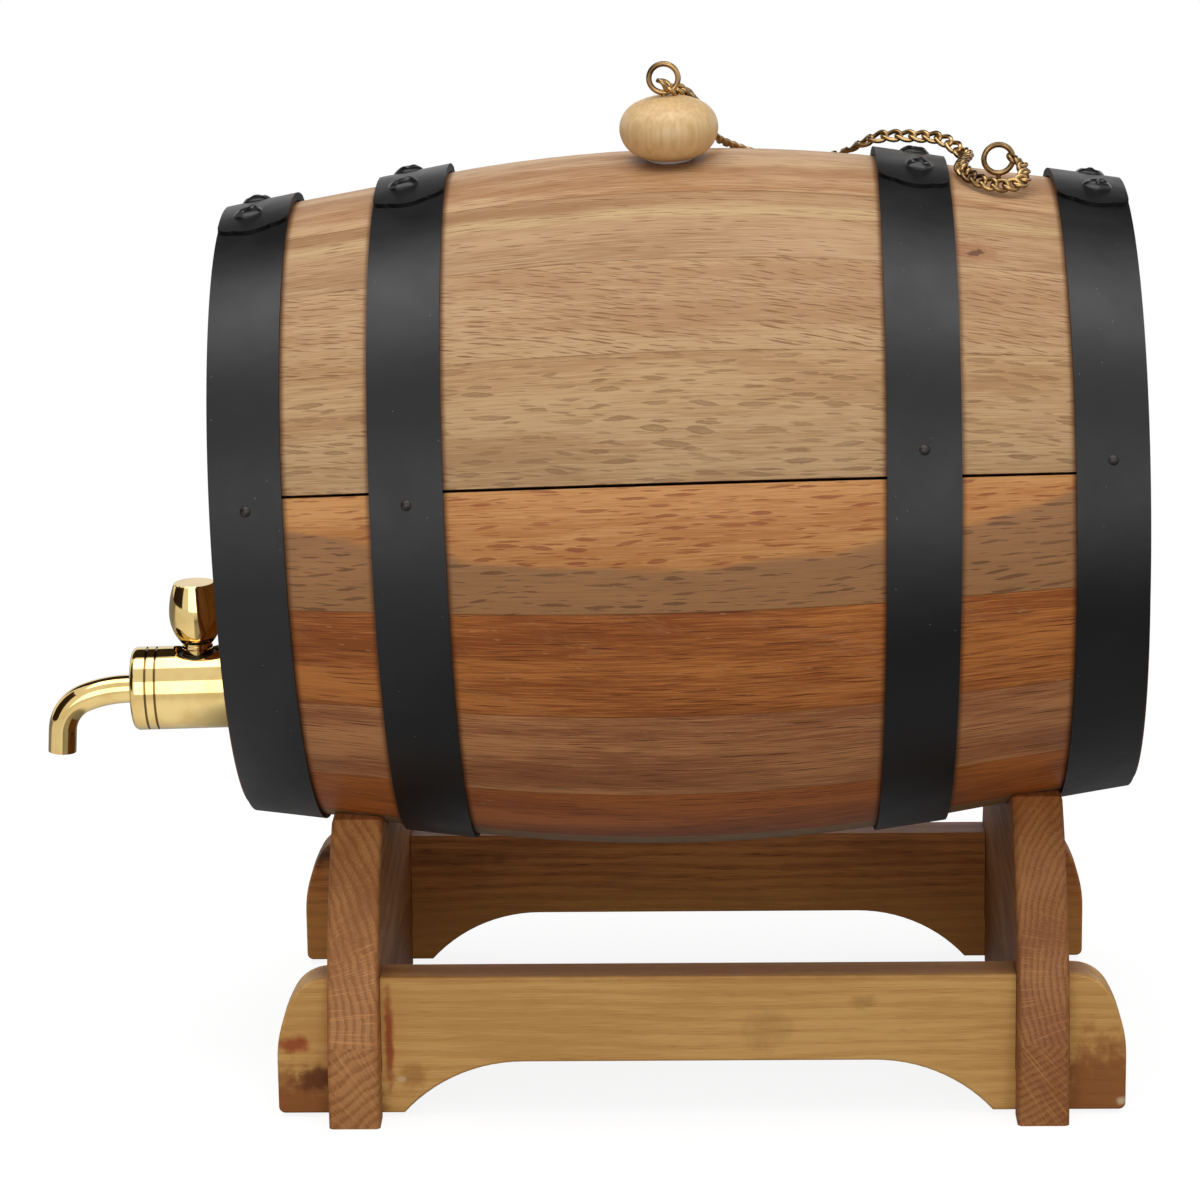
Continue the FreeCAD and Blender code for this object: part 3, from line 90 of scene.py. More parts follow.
class Graph:
    """Short calls for building a node tree."""

    def __init__(self, tree):
        self.tree = tree

    def node(self, kind, values=None, **settings):
        made = self.tree.nodes.new(kind if kind == "NodeGroupOutput" else "ShaderNode" + kind)
        for name, value in settings.items():
            setattr(made, name, value)
        self.feed(made, values or {})
        return made

    def feed(self, node, values):
        """Links or sets each of a node's inputs that values names."""
        for name, value in values.items():
            if isinstance(value, bpy.types.NodeSocket):
                self.tree.links.new(value, node.inputs[name])
            else:
                node.inputs[name].default_value = value

    def math(self, operation, *values):
        return self.node("Math", dict(enumerate(values)), operation=operation).outputs[0]

    def chained(self, operation, values):
        return reduce(lambda total, value: self.math(operation, total, value), values)

    def add(self, *values):
        return self.chained("ADD", values)

    def times(self, *values):
        return self.chained("MULTIPLY", values)

    def largest(self, *values):
        return self.chained("MAXIMUM", values)

    def minus(self, a, b):
        return self.math("SUBTRACT", a, b)

    def absolute(self, value):
        return self.math("ABSOLUTE", value)

    def length(self, *parts):
        """The length of the line with these parts along each direction."""
        return self.math("SQRT", self.add(*(self.times(part, part) for part in parts)))

    def smooth(self, value, low, high, to_low=0.0, to_high=1.0):
        """value mapped smoothly from low..high to to_low..to_high, and held outside."""
        ends = {0: value, 1: low, 2: high, 3: to_low, 4: to_high}
        return self.node("MapRange", ends, interpolation_type="SMOOTHSTEP").outputs[0]

    def vector(self, x, y, z=0.0):
        return self.node("CombineXYZ", {0: x, 1: y, 2: z}).outputs[0]

    def split(self, vector):
        return self.node("SeparateXYZ", {0: vector}).outputs

    def on_vectors(self, operation, *values):
        return self.node("VectorMath", dict(enumerate(values)), operation=operation).outputs

    def scaled(self, vector, factor):
        return self.node("VectorMath", {0: vector, 3: factor}, operation="SCALE").outputs[0]

    def noise(self, vector, scale=1.0, detail=2.0, roughness=0.5, distortion=0.0):
        made = self.node("TexNoise", {
            "Vector": vector, "Scale": scale, "Detail": detail,
            "Roughness": roughness, "Distortion": distortion,
        })
        return made.outputs[0]

    def stretched_noise(self, place, rates, layer=0.0, **settings):
        """Noise over two or three coordinates, each times its rate per mm; layer picks the pattern."""
        stretched = [self.times(value, rate) for value, rate in zip(place, rates)]
        depth = self.add(*stretched[2:], layer)
        return self.noise(self.vector(*stretched[:2], depth), **settings)

    def cells(self, vector):
        """Distance to the nearest of scattered points, and a random colour for each."""
        made = self.node("TexVoronoi", {"Vector": vector, "Scale": 1.0, "Randomness": 1.0})
        return made.outputs["Distance"], made.outputs["Color"]

    def mix(self, factor, a, b):
        return self.node("Mix", {0: factor, 6: a, 7: b}, data_type="RGBA").outputs[2]

    def ramp(self, factor, *stops):
        made = self.node("ValToRGB", {0: factor})
        points = made.color_ramp.elements
        while len(points) < len(stops):
            points.new(1.0)
        for point, (place, colour) in zip(points, stops):
            point.position = place
            point.color = colour
        return made.outputs[0]

    def bump(self, height, distance, strength, below=None):
        values = {"Height": height, "Distance": distance, "Strength": strength}
        if below is not None:
            values["Normal"] = below
        return self.node("Bump", values).outputs[0]


def new_material(name):
    """A material with an empty Principled surface, and its graph."""
    material = bpy.data.materials.new(name)
    material.use_nodes = True
    graph = Graph(material.node_tree)
    return material, graph, material.node_tree.nodes["Principled BSDF"]


def millimetres(graph):
    """The point being shaded, in millimetres of the row frame at rest."""
    return graph.scaled(graph.node("TexCoord").outputs["Object"], 1 / MM)


# ---------------------------------------------------------------- wood of the cask

# How far the hoops' painted shade reaches beyond their edges.
HOOP_SHADE_REACH = 1.9
# How far apart two staves' patterns lie, for each step of the seed.
SEED_SHIFT_ALONG, SEED_SHIFT_DEEP = 7.3, 3.1
FLECK_SHIFT_ALONG, FLECK_SHIFT_ROUND = 1.7, 0.9
SOFT_FLECK_EDGE = 0.48
TICK_SLOPE = 0.09
SILK_SLOPE = 0.35
STREAK_ANGLE = 66.0
STREAK_DRIFT = 6.0
# Where these begin to fade and where they are gone, from the middle of the knot or of the bung.
KNOT_REACH = (3.2, 4.2)
KNOT_HALO_REACH = (4.0, 9.0)
BUNG_SHADE_REACH = (7.5, 14.0)
# The edge between sapwood and heartwood: its lowest place along the cask, its angle there, how fast it
# rises to both sides and how ragged it is.
HEART_ALONG, HEART_ANGLE, HEART_RISE, HEART_RAG = -8.0, 1.5, 0.0011, 9.0


def hoop_shade(graph, along, up, middle, lean):
    """Painted shade beside a hoop: 1 under the hoop, fading out a little beyond its edges."""
    from_middle = graph.minus(along, graph.add(graph.times(up, lean), middle))
    past_edge = graph.minus(graph.absolute(from_middle), HOOP_WIDTH / 2)
    return graph.smooth(past_edge, 0.0, HOOP_SHADE_REACH, 1.0, 0.0)


def cask_places():
    """A node group: the shaded point along, round and out from the cask's axis, and the hoops' painted
    shade.
    """
    tree = bpy.data.node_groups.new("cask_places", "ShaderNodeTree")
    graph = Graph(tree)
    x, y, z = graph.split(millimetres(graph))
    dx = graph.minus(x, CASK_CENTRE[0])
    dz = graph.minus(z, CASK_CENTRE[2])
    cos, sin = math.cos(CASK_TILT), math.sin(CASK_TILT)
    along = graph.add(graph.times(dx, cos), graph.times(dz, sin))
    up = graph.minus(graph.times(dz, cos), graph.times(dx, sin))
    towards = graph.times(y, -1.0)
    places = {
        "Along": along,
        "Round": graph.times(graph.math("ARCTAN2", up, towards), ARC_RADIUS),
        "Out": graph.length(up, y),
        "Hoop shade": graph.largest(*(hoop_shade(graph, along, up, *hoop) for hoop in HOOPS)),
    }
    for name in places:
        tree.interface.new_socket(name, in_out="OUTPUT", socket_type="NodeSocketFloat")
    graph.node("NodeGroupOutput", places)
    return tree


CASK_PLACES = cask_places()


def straight_grain(graph, along, around, seed, stretch, rate, **settings):
    """Noise that runs slowly along the grain and fast, at a rate per mm, across it."""
    place = graph.vector(
        graph.add(graph.times(along, rate / stretch), seed * SEED_SHIFT_ALONG),
        graph.times(around, rate),
        seed * SEED_SHIFT_DEEP,
    )
    return graph.noise(place, **settings)


def flecks(stave, seed, pitch, size, share, slope, fill=1.0):
    """Dark ray flecks, from 0 to 1: lens-shaped marks of a size, in a share of the cells of a pitch.

    They lean against the grain by a slope, and their middles are as dark as fill says.
    """
    graph, along, around = stave.graph, stave.along, stave.around
    bend = graph.stretched_noise((along, around), (0.03, 0.05), seed, detail=1.0)
    leant = graph.add(around, graph.times(along, slope), graph.times(bend, pitch[1] * 2.0))
    where = graph.vector(
        graph.add(graph.times(along, 1 / pitch[0]), seed * FLECK_SHIFT_ALONG),
        graph.add(graph.times(leant, 1 / pitch[1]), seed * FLECK_SHIFT_ROUND),
    )
    points = {"Vector": where, "Scale": 1.0, "Randomness": 0.85}
    cell = graph.node("TexVoronoi", points, voronoi_dimensions="2D").outputs
    u, v, _ = graph.split(graph.on_vectors("SUBTRACT", where, cell["Position"])[0])
    long, thick, chance = graph.split(cell["Color"])
    u = graph.math(
        "DIVIDE", graph.times(u, 2 * pitch[0] / size[0]), graph.smooth(long, 0.0, 1.0, 0.6, 1.1))
    frayed = graph.minus(graph.stretched_noise((along, around), (0.6, 2.0), seed + 5.0, detail=2.0), 0.5)
    v = graph.add(
        graph.times(v, 2 * pitch[1] / size[1]),
        graph.times(u, graph.minus(thick, 0.5), 0.5),
        graph.times(frayed, 0.7),
    )
    lens = graph.minus(graph.smooth(thick, 0.0, 1.0, 0.6, 1.15), graph.times(u, u))
    inside = graph.minus(lens, graph.absolute(v))
    body = graph.times(
        graph.smooth(inside, 0.0, SOFT_FLECK_EDGE), graph.smooth(inside, 0.2, 0.7, 1.0, fill))
    return graph.times(body, graph.math("LESS_THAN", chance, share))


# What each stave looks like: colours as 8-bit sRGB, marks as flecks() takes them, a knot as its place
# along the cask and its angle.
STAVE_LOOKS = {
    1: dict(
        light=(204, 168, 128), dark=(166, 120, 80), fleck=(136, 88, 56), streak=True,
        marks=(((14, 1.6), (11, 0.5), 0.7, 0.02),),
    ),
    2: dict(
        light=(188, 152, 112), dark=(158, 118, 80), fleck=(136, 92, 58), streak=True,
        marks=(((12, 1.8), (9, 0.6), 0.6, 0.05),), knot=(88.2, 56.5),
    ),
    3: dict(
        light=(190, 154, 112), dark=(168, 128, 86), fleck=(126, 82, 48), seam=0.1,
        marks=(((8.5, 1.9), (9.5, 0.62), 0.97, 0.15), ((6, 1.5), (6, 0.4), 0.8, 0.16)),
    ),
    4: dict(
        light=(196, 160, 116), dark=(170, 130, 88), fleck=(124, 86, 54), seam=0.1,
        marks=(((13, 3.6), (12, 1.7), 0.85, 0.02, 0.55), ((8, 2.4), (7, 0.7), 0.8, 0.06, 0.8)),
    ),
    5: dict(
        light=(216, 156, 94), dark=(188, 122, 64), fleck=(140, 66, 32),
        marks=(((13, 3.2), (11, 1.15), 0.85, -0.04, 0.8), ((8, 1.8), (7, 0.5), 0.7, 0.0)),
        heart=(182, 130, 84), heart_fleck=(98, 62, 38),
    ),
    6: dict(
        light=(210, 132, 68), dark=(150, 82, 38), fleck=(106, 52, 22), ticks=0.3, rays=True,
        marks=(((20, 1.7), (16, 0.5), 0.7, 0.0),),
    ),
    7: dict(
        light=(210, 146, 94), dark=(158, 98, 60), fleck=(98, 56, 34), ticks=0.25, rays=True,
        marks=(((18, 1.6), (14, 0.45), 0.65, 0.02),),
    ),
    8: dict(
        light=(206, 122, 60), dark=(160, 88, 42), fleck=(88, 46, 26), ticks=0.2,
        marks=(((16, 1.6), (12, 0.5), 0.6, 0.0),),
    ),
}
# The other staves take these in turn.
PLAIN_LOOKS = (
    dict(
        light=(166, 124, 82), dark=(142, 98, 60), fleck=(116, 76, 46),
        marks=(((12, 3.2), (9, 1.2), 0.6, 0.08),),
    ),
    dict(
        light=(158, 104, 62), dark=(130, 78, 42), fleck=(104, 60, 32), ticks=0.2,
        marks=(((18, 1.8), (14, 0.5), 0.6, -0.05),),
    ),
    dict(
        light=(174, 138, 96), dark=(156, 118, 76), fleck=(128, 92, 58),
        marks=(((8, 2.0), (6, 0.8), 0.8, -0.12),),
    ),
    dict(
        light=(146, 96, 60), dark=(120, 72, 42), fleck=(94, 58, 36), rays=True,
        marks=(((15, 2.2), (11, 0.8), 0.6, 0.04),),
    ),
    dict(
        light=(180, 124, 76), dark=(158, 98, 54), fleck=(126, 70, 40),
        marks=(((13, 3.4), (10, 1.2), 0.6, 0.05),),
    ),
)
STREAK_COLOUR = (202, 172, 126)
SILK_COLOUR = (178, 124, 84)
TICK_COLOUR = (200, 152, 110)
KNOT_COLOUR = (84, 50, 32)
KNOT_HALO_COLOUR = (150, 92, 60)
# Brown for the painted shade by the hoops and round the bung, and for the seams' dark lines.
SHADE_AND_SEAM_COLOUR = (92, 48, 22)
END_GRAIN_COLOURS = ((0.35, rgb(104, 66, 40)), (0.62, rgb(156, 110, 70)))


def tint(wooden, factor, colour):
    """Lays an 8-bit colour over a stave's or a block's wood."""
    wooden.wood = wooden.graph.mix(factor, wooden.wood, rgb(*colour))


def add_heartwood(stave, look):
    """Sapwood above a curved edge, heartwood below it, which has flecks of its own colour."""
    graph, along = stave.graph, stave.along
    off = graph.minus(along, HEART_ALONG)
    ragged = graph.stretched_noise((along, stave.around), (0.03, 0.1), 2.0, detail=3.0)
    edge = graph.add(
        graph.times(graph.minus(ragged, 0.5), HEART_RAG),
        graph.times(off, off, HEART_RISE),
        HEART_ANGLE * ARC_PER_DEGREE,
    )
    sap = graph.smooth(graph.minus(stave.around, edge), -1.2, 1.6)
    heart = graph.mix(
        graph.smooth(stave.tone, 0.25, 0.8), shaded(look["heart"], 0.84), rgb(*look["heart"]))
    stave.wood = graph.mix(sap, heart, stave.wood)
    stave.fleck_colour = graph.mix(sap, rgb(*look["heart_fleck"]), stave.fleck_colour)


def add_streak(stave):
    """A straight pale streak beside the seam."""
    graph = stave.graph
    drift = graph.noise(graph.vector(graph.times(stave.along, 0.02), 0.0, 2.0))
    line = graph.minus(
        graph.add(stave.around, graph.times(drift, STREAK_DRIFT)), STREAK_ANGLE * ARC_PER_DEGREE)
    streak = graph.smooth(graph.absolute(line), 0.5, 4.5, 1.0, 0.0)
    tint(stave, graph.times(streak, graph.smooth(stave.grain, 0.3, 0.6), 0.8), STREAK_COLOUR)


def add_knot(stave, place, angle):
    """A small dark knot in a reddish halo, longer than wide."""
    graph = stave.graph
    reach = graph.length(
        graph.times(graph.minus(stave.along, place), 0.6),
        graph.minus(stave.around, angle * ARC_PER_DEGREE),
    )
    ragged = graph.noise(graph.vector(stave.along, stave.around), 0.35, 3.0)
    reach = graph.add(reach, graph.times(ragged, 5.0))
    tint(stave, graph.smooth(reach, *KNOT_HALO_REACH, 0.55, 0.0), KNOT_HALO_COLOUR)
    tint(stave, graph.smooth(reach, *KNOT_REACH, 0.8, 0.0), KNOT_COLOUR)


def add_silk(stave):
    """Broad silky bands that cross the grain at a slant."""
    graph, along = stave.graph, stave.along
    leant = graph.add(stave.around, graph.times(along, SILK_SLOPE))
    band = graph.stretched_noise((along, leant), (0.03, 0.12), stave.seed, detail=2.0)
    silk = graph.stretched_noise((along, leant), (0.25, 1.4), stave.seed + 9.0, detail=3.0)
    shown = graph.times(graph.smooth(band, 0.5, 0.66), graph.smooth(silk, 0.45, 0.62), 0.45)
    tint(stave, shown, SILK_COLOUR)


def add_flecks(stave, marks):
    """All the stave's layers of flecks, stronger in some patches than in others."""
    graph = stave.graph
    layers = []
    for order, mark in enumerate(marks):
        layer = flecks(stave, stave.seed + 40 * order, *mark)
        layers.append(graph.times(layer, 0.7) if order else layer)
    stave.flecks = graph.largest(*layers)
    patches = graph.stretched_noise((stave.along, stave.around), (0.04, 0.09), stave.seed + 2.0, detail=2.0)
    strength = graph.smooth(patches, 0.3, 0.6, 0.6, 1.0)
    stave.wood = graph.mix(graph.times(stave.flecks, strength, 0.85), stave.wood, stave.fleck_colour)


def add_ticks(stave, share):
    """Short pale open rays that catch the light."""
    graph, along = stave.graph, stave.along
    leant = graph.add(stave.around, graph.times(along, TICK_SLOPE))
    where = graph.vector(
        graph.add(graph.times(along, 0.2), stave.seed), graph.times(leant, 1.1), stave.seed * 2.0)
    distance, colour = graph.cells(where)
    size = graph.smooth(graph.split(colour)[1], 1.0 - share, 1.0, 0.0, 0.2)
    ticks = graph.smooth(graph.minus(size, distance), -0.02, 0.03)
    tint(stave, graph.times(ticks, 0.6), TICK_COLOUR)


def add_end_grain(stave):
    """Colder, rougher end grain on the chimes."""
    graph = stave.graph
    rings = graph.stretched_noise(
        (stave.around, stave.out), (0.5, 1.6), stave.seed, detail=4.0, distortion=0.6)
    end = graph.smooth(graph.absolute(stave.along), HALF_LEN - 0.6, HALF_LEN - 0.1)
    stave.wood = graph.mix(end, stave.wood, graph.ramp(rings, *END_GRAIN_COLOURS))


def add_corner_shade(stave, index, seam_strength):
    """Painted shade in brown by the hoops and round the bung, and dark brown lines along the seams."""
    graph, around = stave.graph, stave.around
    low, high = SEAMS[index], SEAMS[index - 1]
    middle = (low + high) / 2 * ARC_PER_DEGREE
    half = (high - low) / 2 * ARC_PER_DEGREE
    half_turn = 180 * ARC_PER_DEGREE
    turned = graph.math("WRAP", graph.minus(around, middle), -half_turn, half_turn)
    from_seam = graph.minus(half, graph.absolute(turned))
    # Painted shade by the hoops, and the seams' dark lines.
    shades = [graph.times(stave.hoop_shade, 0.7), graph.smooth(from_seam, 0.05, 0.5, seam_strength, 0.0)]
    # Painted shadow round the bung, on its stave.
    if index == BUNG_STAVE:
        from_bung = graph.length(
            graph.minus(stave.along, BUNG_ALONG), graph.minus(around, BUNG_ANGLE * ARC_PER_DEGREE))
        shades.append(graph.smooth(from_bung, *BUNG_SHADE_REACH, 0.6, 0.0))
    tint(stave, graph.largest(*shades), SHADE_AND_SEAM_COLOUR)


def stave_material(index):
    """Varnished oak of one stave, cut differently from its neighbours."""
    look = STAVE_LOOKS.get(index) or PLAIN_LOOKS[(index * 3) % len(PLAIN_LOOKS)]
    material, graph, surface = new_material(f"stave_oak_{index:02d}")
    along, around, out, shade = graph.node("Group", node_tree=CASK_PLACES).outputs
    seed = float(index)
    grain = straight_grain(graph, along, around, seed, 34.0, 2.3, detail=5.0, roughness=0.68)
    broad = straight_grain(graph, along, around, seed + 30, 9.0, 0.09, detail=2.0)
    tone = graph.add(graph.times(grain, 0.75), graph.times(broad, 0.55), -0.15)
    stave = SimpleNamespace(
        graph=graph, along=along, around=around, out=out, hoop_shade=shade,
        seed=seed, grain=grain, tone=tone,
        wood=graph.mix(graph.smooth(tone, 0.38, 0.64), rgb(*look["dark"]), rgb(*look["light"])),
        fleck_colour=rgb(*look["fleck"]),
    )
    if "heart" in look:
        add_heartwood(stave, look)
    if "streak" in look:
        add_streak(stave)
    if "knot" in look:
        add_knot(stave, *look["knot"])
    if "rays" in look:
        add_silk(stave)
    add_flecks(stave, look["marks"])
    if "ticks" in look:
        add_ticks(stave, look["ticks"])
    add_end_grain(stave)
    add_corner_shade(stave, index, look.get("seam", 0.3))
    relief = graph.add(graph.times(grain, 0.5), graph.times(stave.flecks, -0.25))
    graph.feed(surface, {
        "Base Color": stave.wood,
        "Roughness": graph.smooth(grain, 0.25, 0.8, 0.52, 0.38),
        "Normal": graph.bump(relief, 0.00025, 0.6),
        "Specular IOR Level": 0.22,
        "Coat Weight": 0.03,
        "Coat Roughness": 0.28,
    })
    return material


# ---------------------------------------------------------------- solid oak of the stand and heads

# How far the growth rings stray from circles round the pith.
RING_DRIFT = 8.0
# A spot that reaches farther than this is a band along the piece, with a softer, straighter edge, such as
# the painted shadow on the near rail's top and the painted light on the cradles' tops.
LONGEST_SPOT = 100
# Colours of an oak block: light wood, dark wood and pores.
HEAD_OAK = ((176, 126, 78), (146, 96, 54), (112, 70, 38))
NEAR_RAIL_OAK = ((216, 168, 99), (200, 148, 82), (160, 108, 56))
FAR_RAIL_OAK = ((182, 116, 56), (146, 86, 38), (86, 46, 18))
FRONT_CRADLE_OAK = ((186, 130, 78), (154, 98, 54), (116, 68, 36))
REAR_CRADLE_OAK = ((168, 114, 66), (138, 84, 46), (104, 60, 32))
HEAD_PITH = (60.0, 40.0)
BOARD_TINT = (128, 80, 42)
BOARD_SEAM_COLOUR = (50, 28, 14)


def growth_rings(graph, place, pith, ring, seed):
    """The rings' early wood, from 0 to 1, and a point's distance and bearing from the pith."""
    drift = graph.minus(graph.stretched_noise(place, (0.006, 0.02, 0.02), seed, detail=2.0), 0.5)
    across = graph.minus(place[1], pith[0])
    up = graph.minus(place[2], pith[1])
    radius = graph.add(graph.length(across, up), graph.times(drift, RING_DRIFT))
    waver = graph.minus(graph.stretched_noise(place, (0.02, 0.12, 0.12), detail=2.0), 0.5)
    part = graph.math("FRACT", graph.add(graph.times(radius, 1 / ring), graph.times(waver, 1.2)))
    early = graph.times(graph.smooth(part, 0.0, 0.15), graph.smooth(part, 0.25, 0.7, 1.0, 0.0))
    return early, radius, graph.math("ARCTAN2", up, across)


def oak_block(name, run, colours, pith, ring=2.6, seed=0.0, contrast=0.5):
    """Oak as one solid block: run names the grain's axis and pith is where the tree's middle was across it.

    ring is the distance between growth rings, and contrast how dark the pores are.
    """
    light, dark, pore = colours
    material, graph, surface = new_material(name)
    x, y, z = graph.split(millimetres(graph))
    place = {"x": (x, y, z), "y": (y, x, z), "z": (z, x, y)}[run]
    early, radius, bearing = growth_rings(graph, place, pith, ring, seed)
    hairs = graph.stretched_noise(place, (0.07, 2.4, 2.4), detail=4.0, roughness=0.62)
    cloud = graph.stretched_noise(place, (0.02, 0.07, 0.07), seed, detail=3.0)
    specks = graph.stretched_noise(place, (0.12, 3.0, 3.0), 11.0, detail=2.0)
    pores = graph.times(graph.smooth(specks, 0.55, 0.68), graph.smooth(early, 0.0, 1.0, 0.3, 1.0))
    facing = graph.split(graph.node("NewGeometry").outputs["True Normal"])["xyz".index(run)]
    end = graph.smooth(graph.absolute(facing), 0.75, 0.97)
    tone = graph.add(graph.times(hairs, 0.6), graph.times(cloud, 0.55), graph.times(early, -0.12), -0.05)
    wood = graph.mix(graph.smooth(tone, 0.36, 0.64), rgb(*dark), rgb(*light))
    wood = graph.mix(graph.times(pores, contrast), wood, rgb(*pore))
    # Rays run out from the pith and show as pale lines across the end grain.
    rays = graph.stretched_noise((bearing, radius, place[0]), (170.0, 0.06, 0.05), detail=1.0)
    ray_lines = graph.times(graph.smooth(rays, 0.56, 0.66), end)
    wood = graph.mix(graph.times(early, end, contrast * 0.8), wood, rgb(*dark))
    wood = graph.mix(graph.times(ray_lines, 0.45), wood, shaded(light, 1.2))
    return SimpleNamespace(
        material=material, graph=graph, surface=surface, place=(x, y, z),
        wood=wood, hairs=hairs, pores=pores,
    )


def add_spot(block, place, reach, colour, strength):
    """A patch of colour round a place, as long, deep and tall as reach says, with a ragged edge: stains and
    blemishes, and also painted shadow and painted light.
    """
    graph = block.graph
    parts = [
        graph.times(graph.minus(value, middle), 1 / size)
        for value, middle, size in zip(block.place, place, reach)
    ]
    ragged = graph.minus(graph.noise(graph.vector(*block.place), 0.25, 3.0), 0.5)
    rag, end = (0.3, 1.4) if max(reach) > LONGEST_SPOT else (1.3, 1.1)
    distance = graph.add(graph.length(*parts), graph.times(ragged, rag))
    tint(block, graph.smooth(distance, 0.3, end, strength, 0.0), colour)


def finish_oak(block):
    """The block's material, its colour joined to a satin varnish and fine relief."""
    graph = block.graph
    relief = graph.add(graph.times(block.hairs, 0.5), graph.times(block.pores, -0.5))
    graph.feed(block.surface, {
        "Base Color": block.wood,
        "Roughness": graph.smooth(block.hairs, 0.25, 0.8, 0.55, 0.42),
        "Normal": graph.bump(relief, 0.0002, 0.5),
        "Specular IOR Level": 0.2,
        "Coat Weight": 0.03,
        "Coat Roughness": 0.25,
    })
    return block.material


def stand_oak(name, run, colours, pith, spots, **more):
    """Oak of one piece of the stand, with its stains and its painted shadow and light."""
    block = oak_block(name, run, colours, pith, **more)
    for spot in spots:
        add_spot(block, *spot)
    return finish_oak(block)


def head_material(side, seed):
    """Upright boards of a head, each a little different, with dark seams between them."""
    block = oak_block(f"head_oak_{side}", "z", HEAD_OAK, HEAD_PITH, seed=seed)
    graph = block.graph
    board = graph.times(graph.add(block.place[1], BOARD_WIDTH / 2), 1 / BOARD_WIDTH)
    number = graph.add(graph.math("FLOOR", board), seed)
    own = graph.node("TexWhiteNoise", {"W": number}, noise_dimensions="1D").outputs["Value"]
    tint(block, graph.times(own, 0.4), BOARD_TINT)
    from_seam = graph.math("PINGPONG", board, 0.5)
    tint(block, graph.smooth(from_seam, 0.004, 0.022, 0.85, 0.0), BOARD_SEAM_COLOUR)
    return finish_oak(block)


# ---------------------------------------------------------------- metal, rubber and silicone

DUST_COLOUR = (150, 146, 138)
DIRT_COLOUR = (84, 54, 18)
# Paint: its colour and roughness.
HOOP_PAINT = ((12, 12, 13), 0.4)
RIVET_PAINT = ((18, 18, 19), 0.3)
NAIL_PAINT = ((44, 37, 34), 0.38)
# Rubber and silicone: colour, roughness, and the shares of light let through and scattered inside.
RUBBER = ((26, 25, 25), 0.6, 0.0, 0.0)
SILICONE = ((226, 200, 190), 0.35, 0.2, 0.5)
BUNG_COLOURS = ((0.3, rgb(204, 162, 108)), (0.5, rgb(216, 180, 126)), (0.7, rgb(226, 192, 142)))
# Brass: its colour and its tarnish, roughness and share of tarnish.
BRIGHT_BRASS = ((226, 198, 134), (206, 170, 100), 0.07, 0.6)
AGED_BRASS = ((178, 146, 98), (82, 60, 38), 0.22, 0.9)


def flat_share(graph, place):
    """1 where steel round the cask faces in or out, 0 on its cut edges, which face along or round it."""
    _, y, z = graph.split(place)
    out = graph.on_vectors("NORMALIZE", graph.vector(0.0, y, graph.minus(z, CASK_CENTRE[2])))[0]
    normal = graph.node("NewGeometry").outputs["True Normal"]
    facing = graph.on_vectors("DOT_PRODUCT", normal, out)["Value"]
    return graph.smooth(graph.absolute(facing), 0.35, 0.75)


def painted_steel(name, colour, rough):
    """Painted steel with faint clouds and a few specks of dust; its cut edges are duller."""
    material, graph, surface = new_material(name)
    place = millimetres(graph)
    cloud = graph.noise(place, 0.05, 3.0)
    grit = graph.noise(place, 2.2, 3.0, 0.6)
    shade = graph.mix(graph.smooth(cloud, 0.3, 0.7), shaded(colour, 0.9), shaded(colour, 1.12))
    distance, chance = graph.cells(graph.scaled(place, 0.3))
    speck = graph.times(
        graph.smooth(distance, 0.03, 0.07, 1.0, 0.0), graph.smooth(graph.split(chance)[0], 0.7, 0.76))
    rolled = graph.bump(cloud, 0.0006, 0.5)
    graph.feed(surface, {
        "Base Color": graph.mix(graph.times(speck, 0.5), shade, rgb(*DUST_COLOUR)),
        "Roughness": graph.smooth(cloud, 0.3, 0.7, rough - 0.04, rough + 0.05),
        "Normal": graph.bump(grit, 0.00003, 0.6, rolled),
        "Specular IOR Level": graph.smooth(flat_share(graph, place), 0.0, 1.0, 0.06, 0.35),
    })
    return material


def brass(name, colour, tarnish, rough, amount, grooves=()):
    """Brass with faint clouds of tarnish, and dirt in its grooves, given by their places along the cask."""
    material, graph, surface = new_material(name)
    place = millimetres(graph)
    cloud = graph.noise(place, 0.12, 3.0, 0.5)
    fine = graph.noise(place, 3.0, 2.0)
    stain = graph.times(graph.smooth(cloud, 0.4, 0.72), amount)
    metal = graph.mix(stain, rgb(*colour), rgb(*tarnish))
    for groove in grooves:
        along = graph.node("Group", node_tree=CASK_PLACES).outputs["Along"]
        off = graph.absolute(graph.minus(along, groove))
        metal = graph.mix(graph.smooth(off, 0.25, 0.5, 0.9, 0.0), metal, rgb(*DIRT_COLOUR))
    wear = graph.add(cloud, graph.times(fine, 0.2))
    graph.feed(surface, {
        "Base Color": metal,
        "Roughness": graph.smooth(wear, 0.3, 0.9, rough * 0.85, rough * 1.2),
        "Normal": graph.bump(fine, 0.00001, 0.15),
        "Metallic": 1.0,
    })
    return material


def soft_material(name, colour, rough, transmission, scatter):
    """Rubber, or silicone that lets some light through."""
    material, graph, surface = new_material(name)
    grit = graph.noise(millimetres(graph), 1.5, 3.0)
    graph.feed(surface, {
        "Base Color": graph.mix(grit, shaded(colour, 0.92), rgb(*colour)),
        "Roughness": graph.smooth(grit, 0.3, 0.7, rough - 0.05, rough + 0.05),
        "Normal": graph.bump(grit, 0.00004, 0.5),
        "Transmission Weight": transmission,
        "Subsurface Weight": scatter,
        "Subsurface Scale": 0.004,
    })
    return material


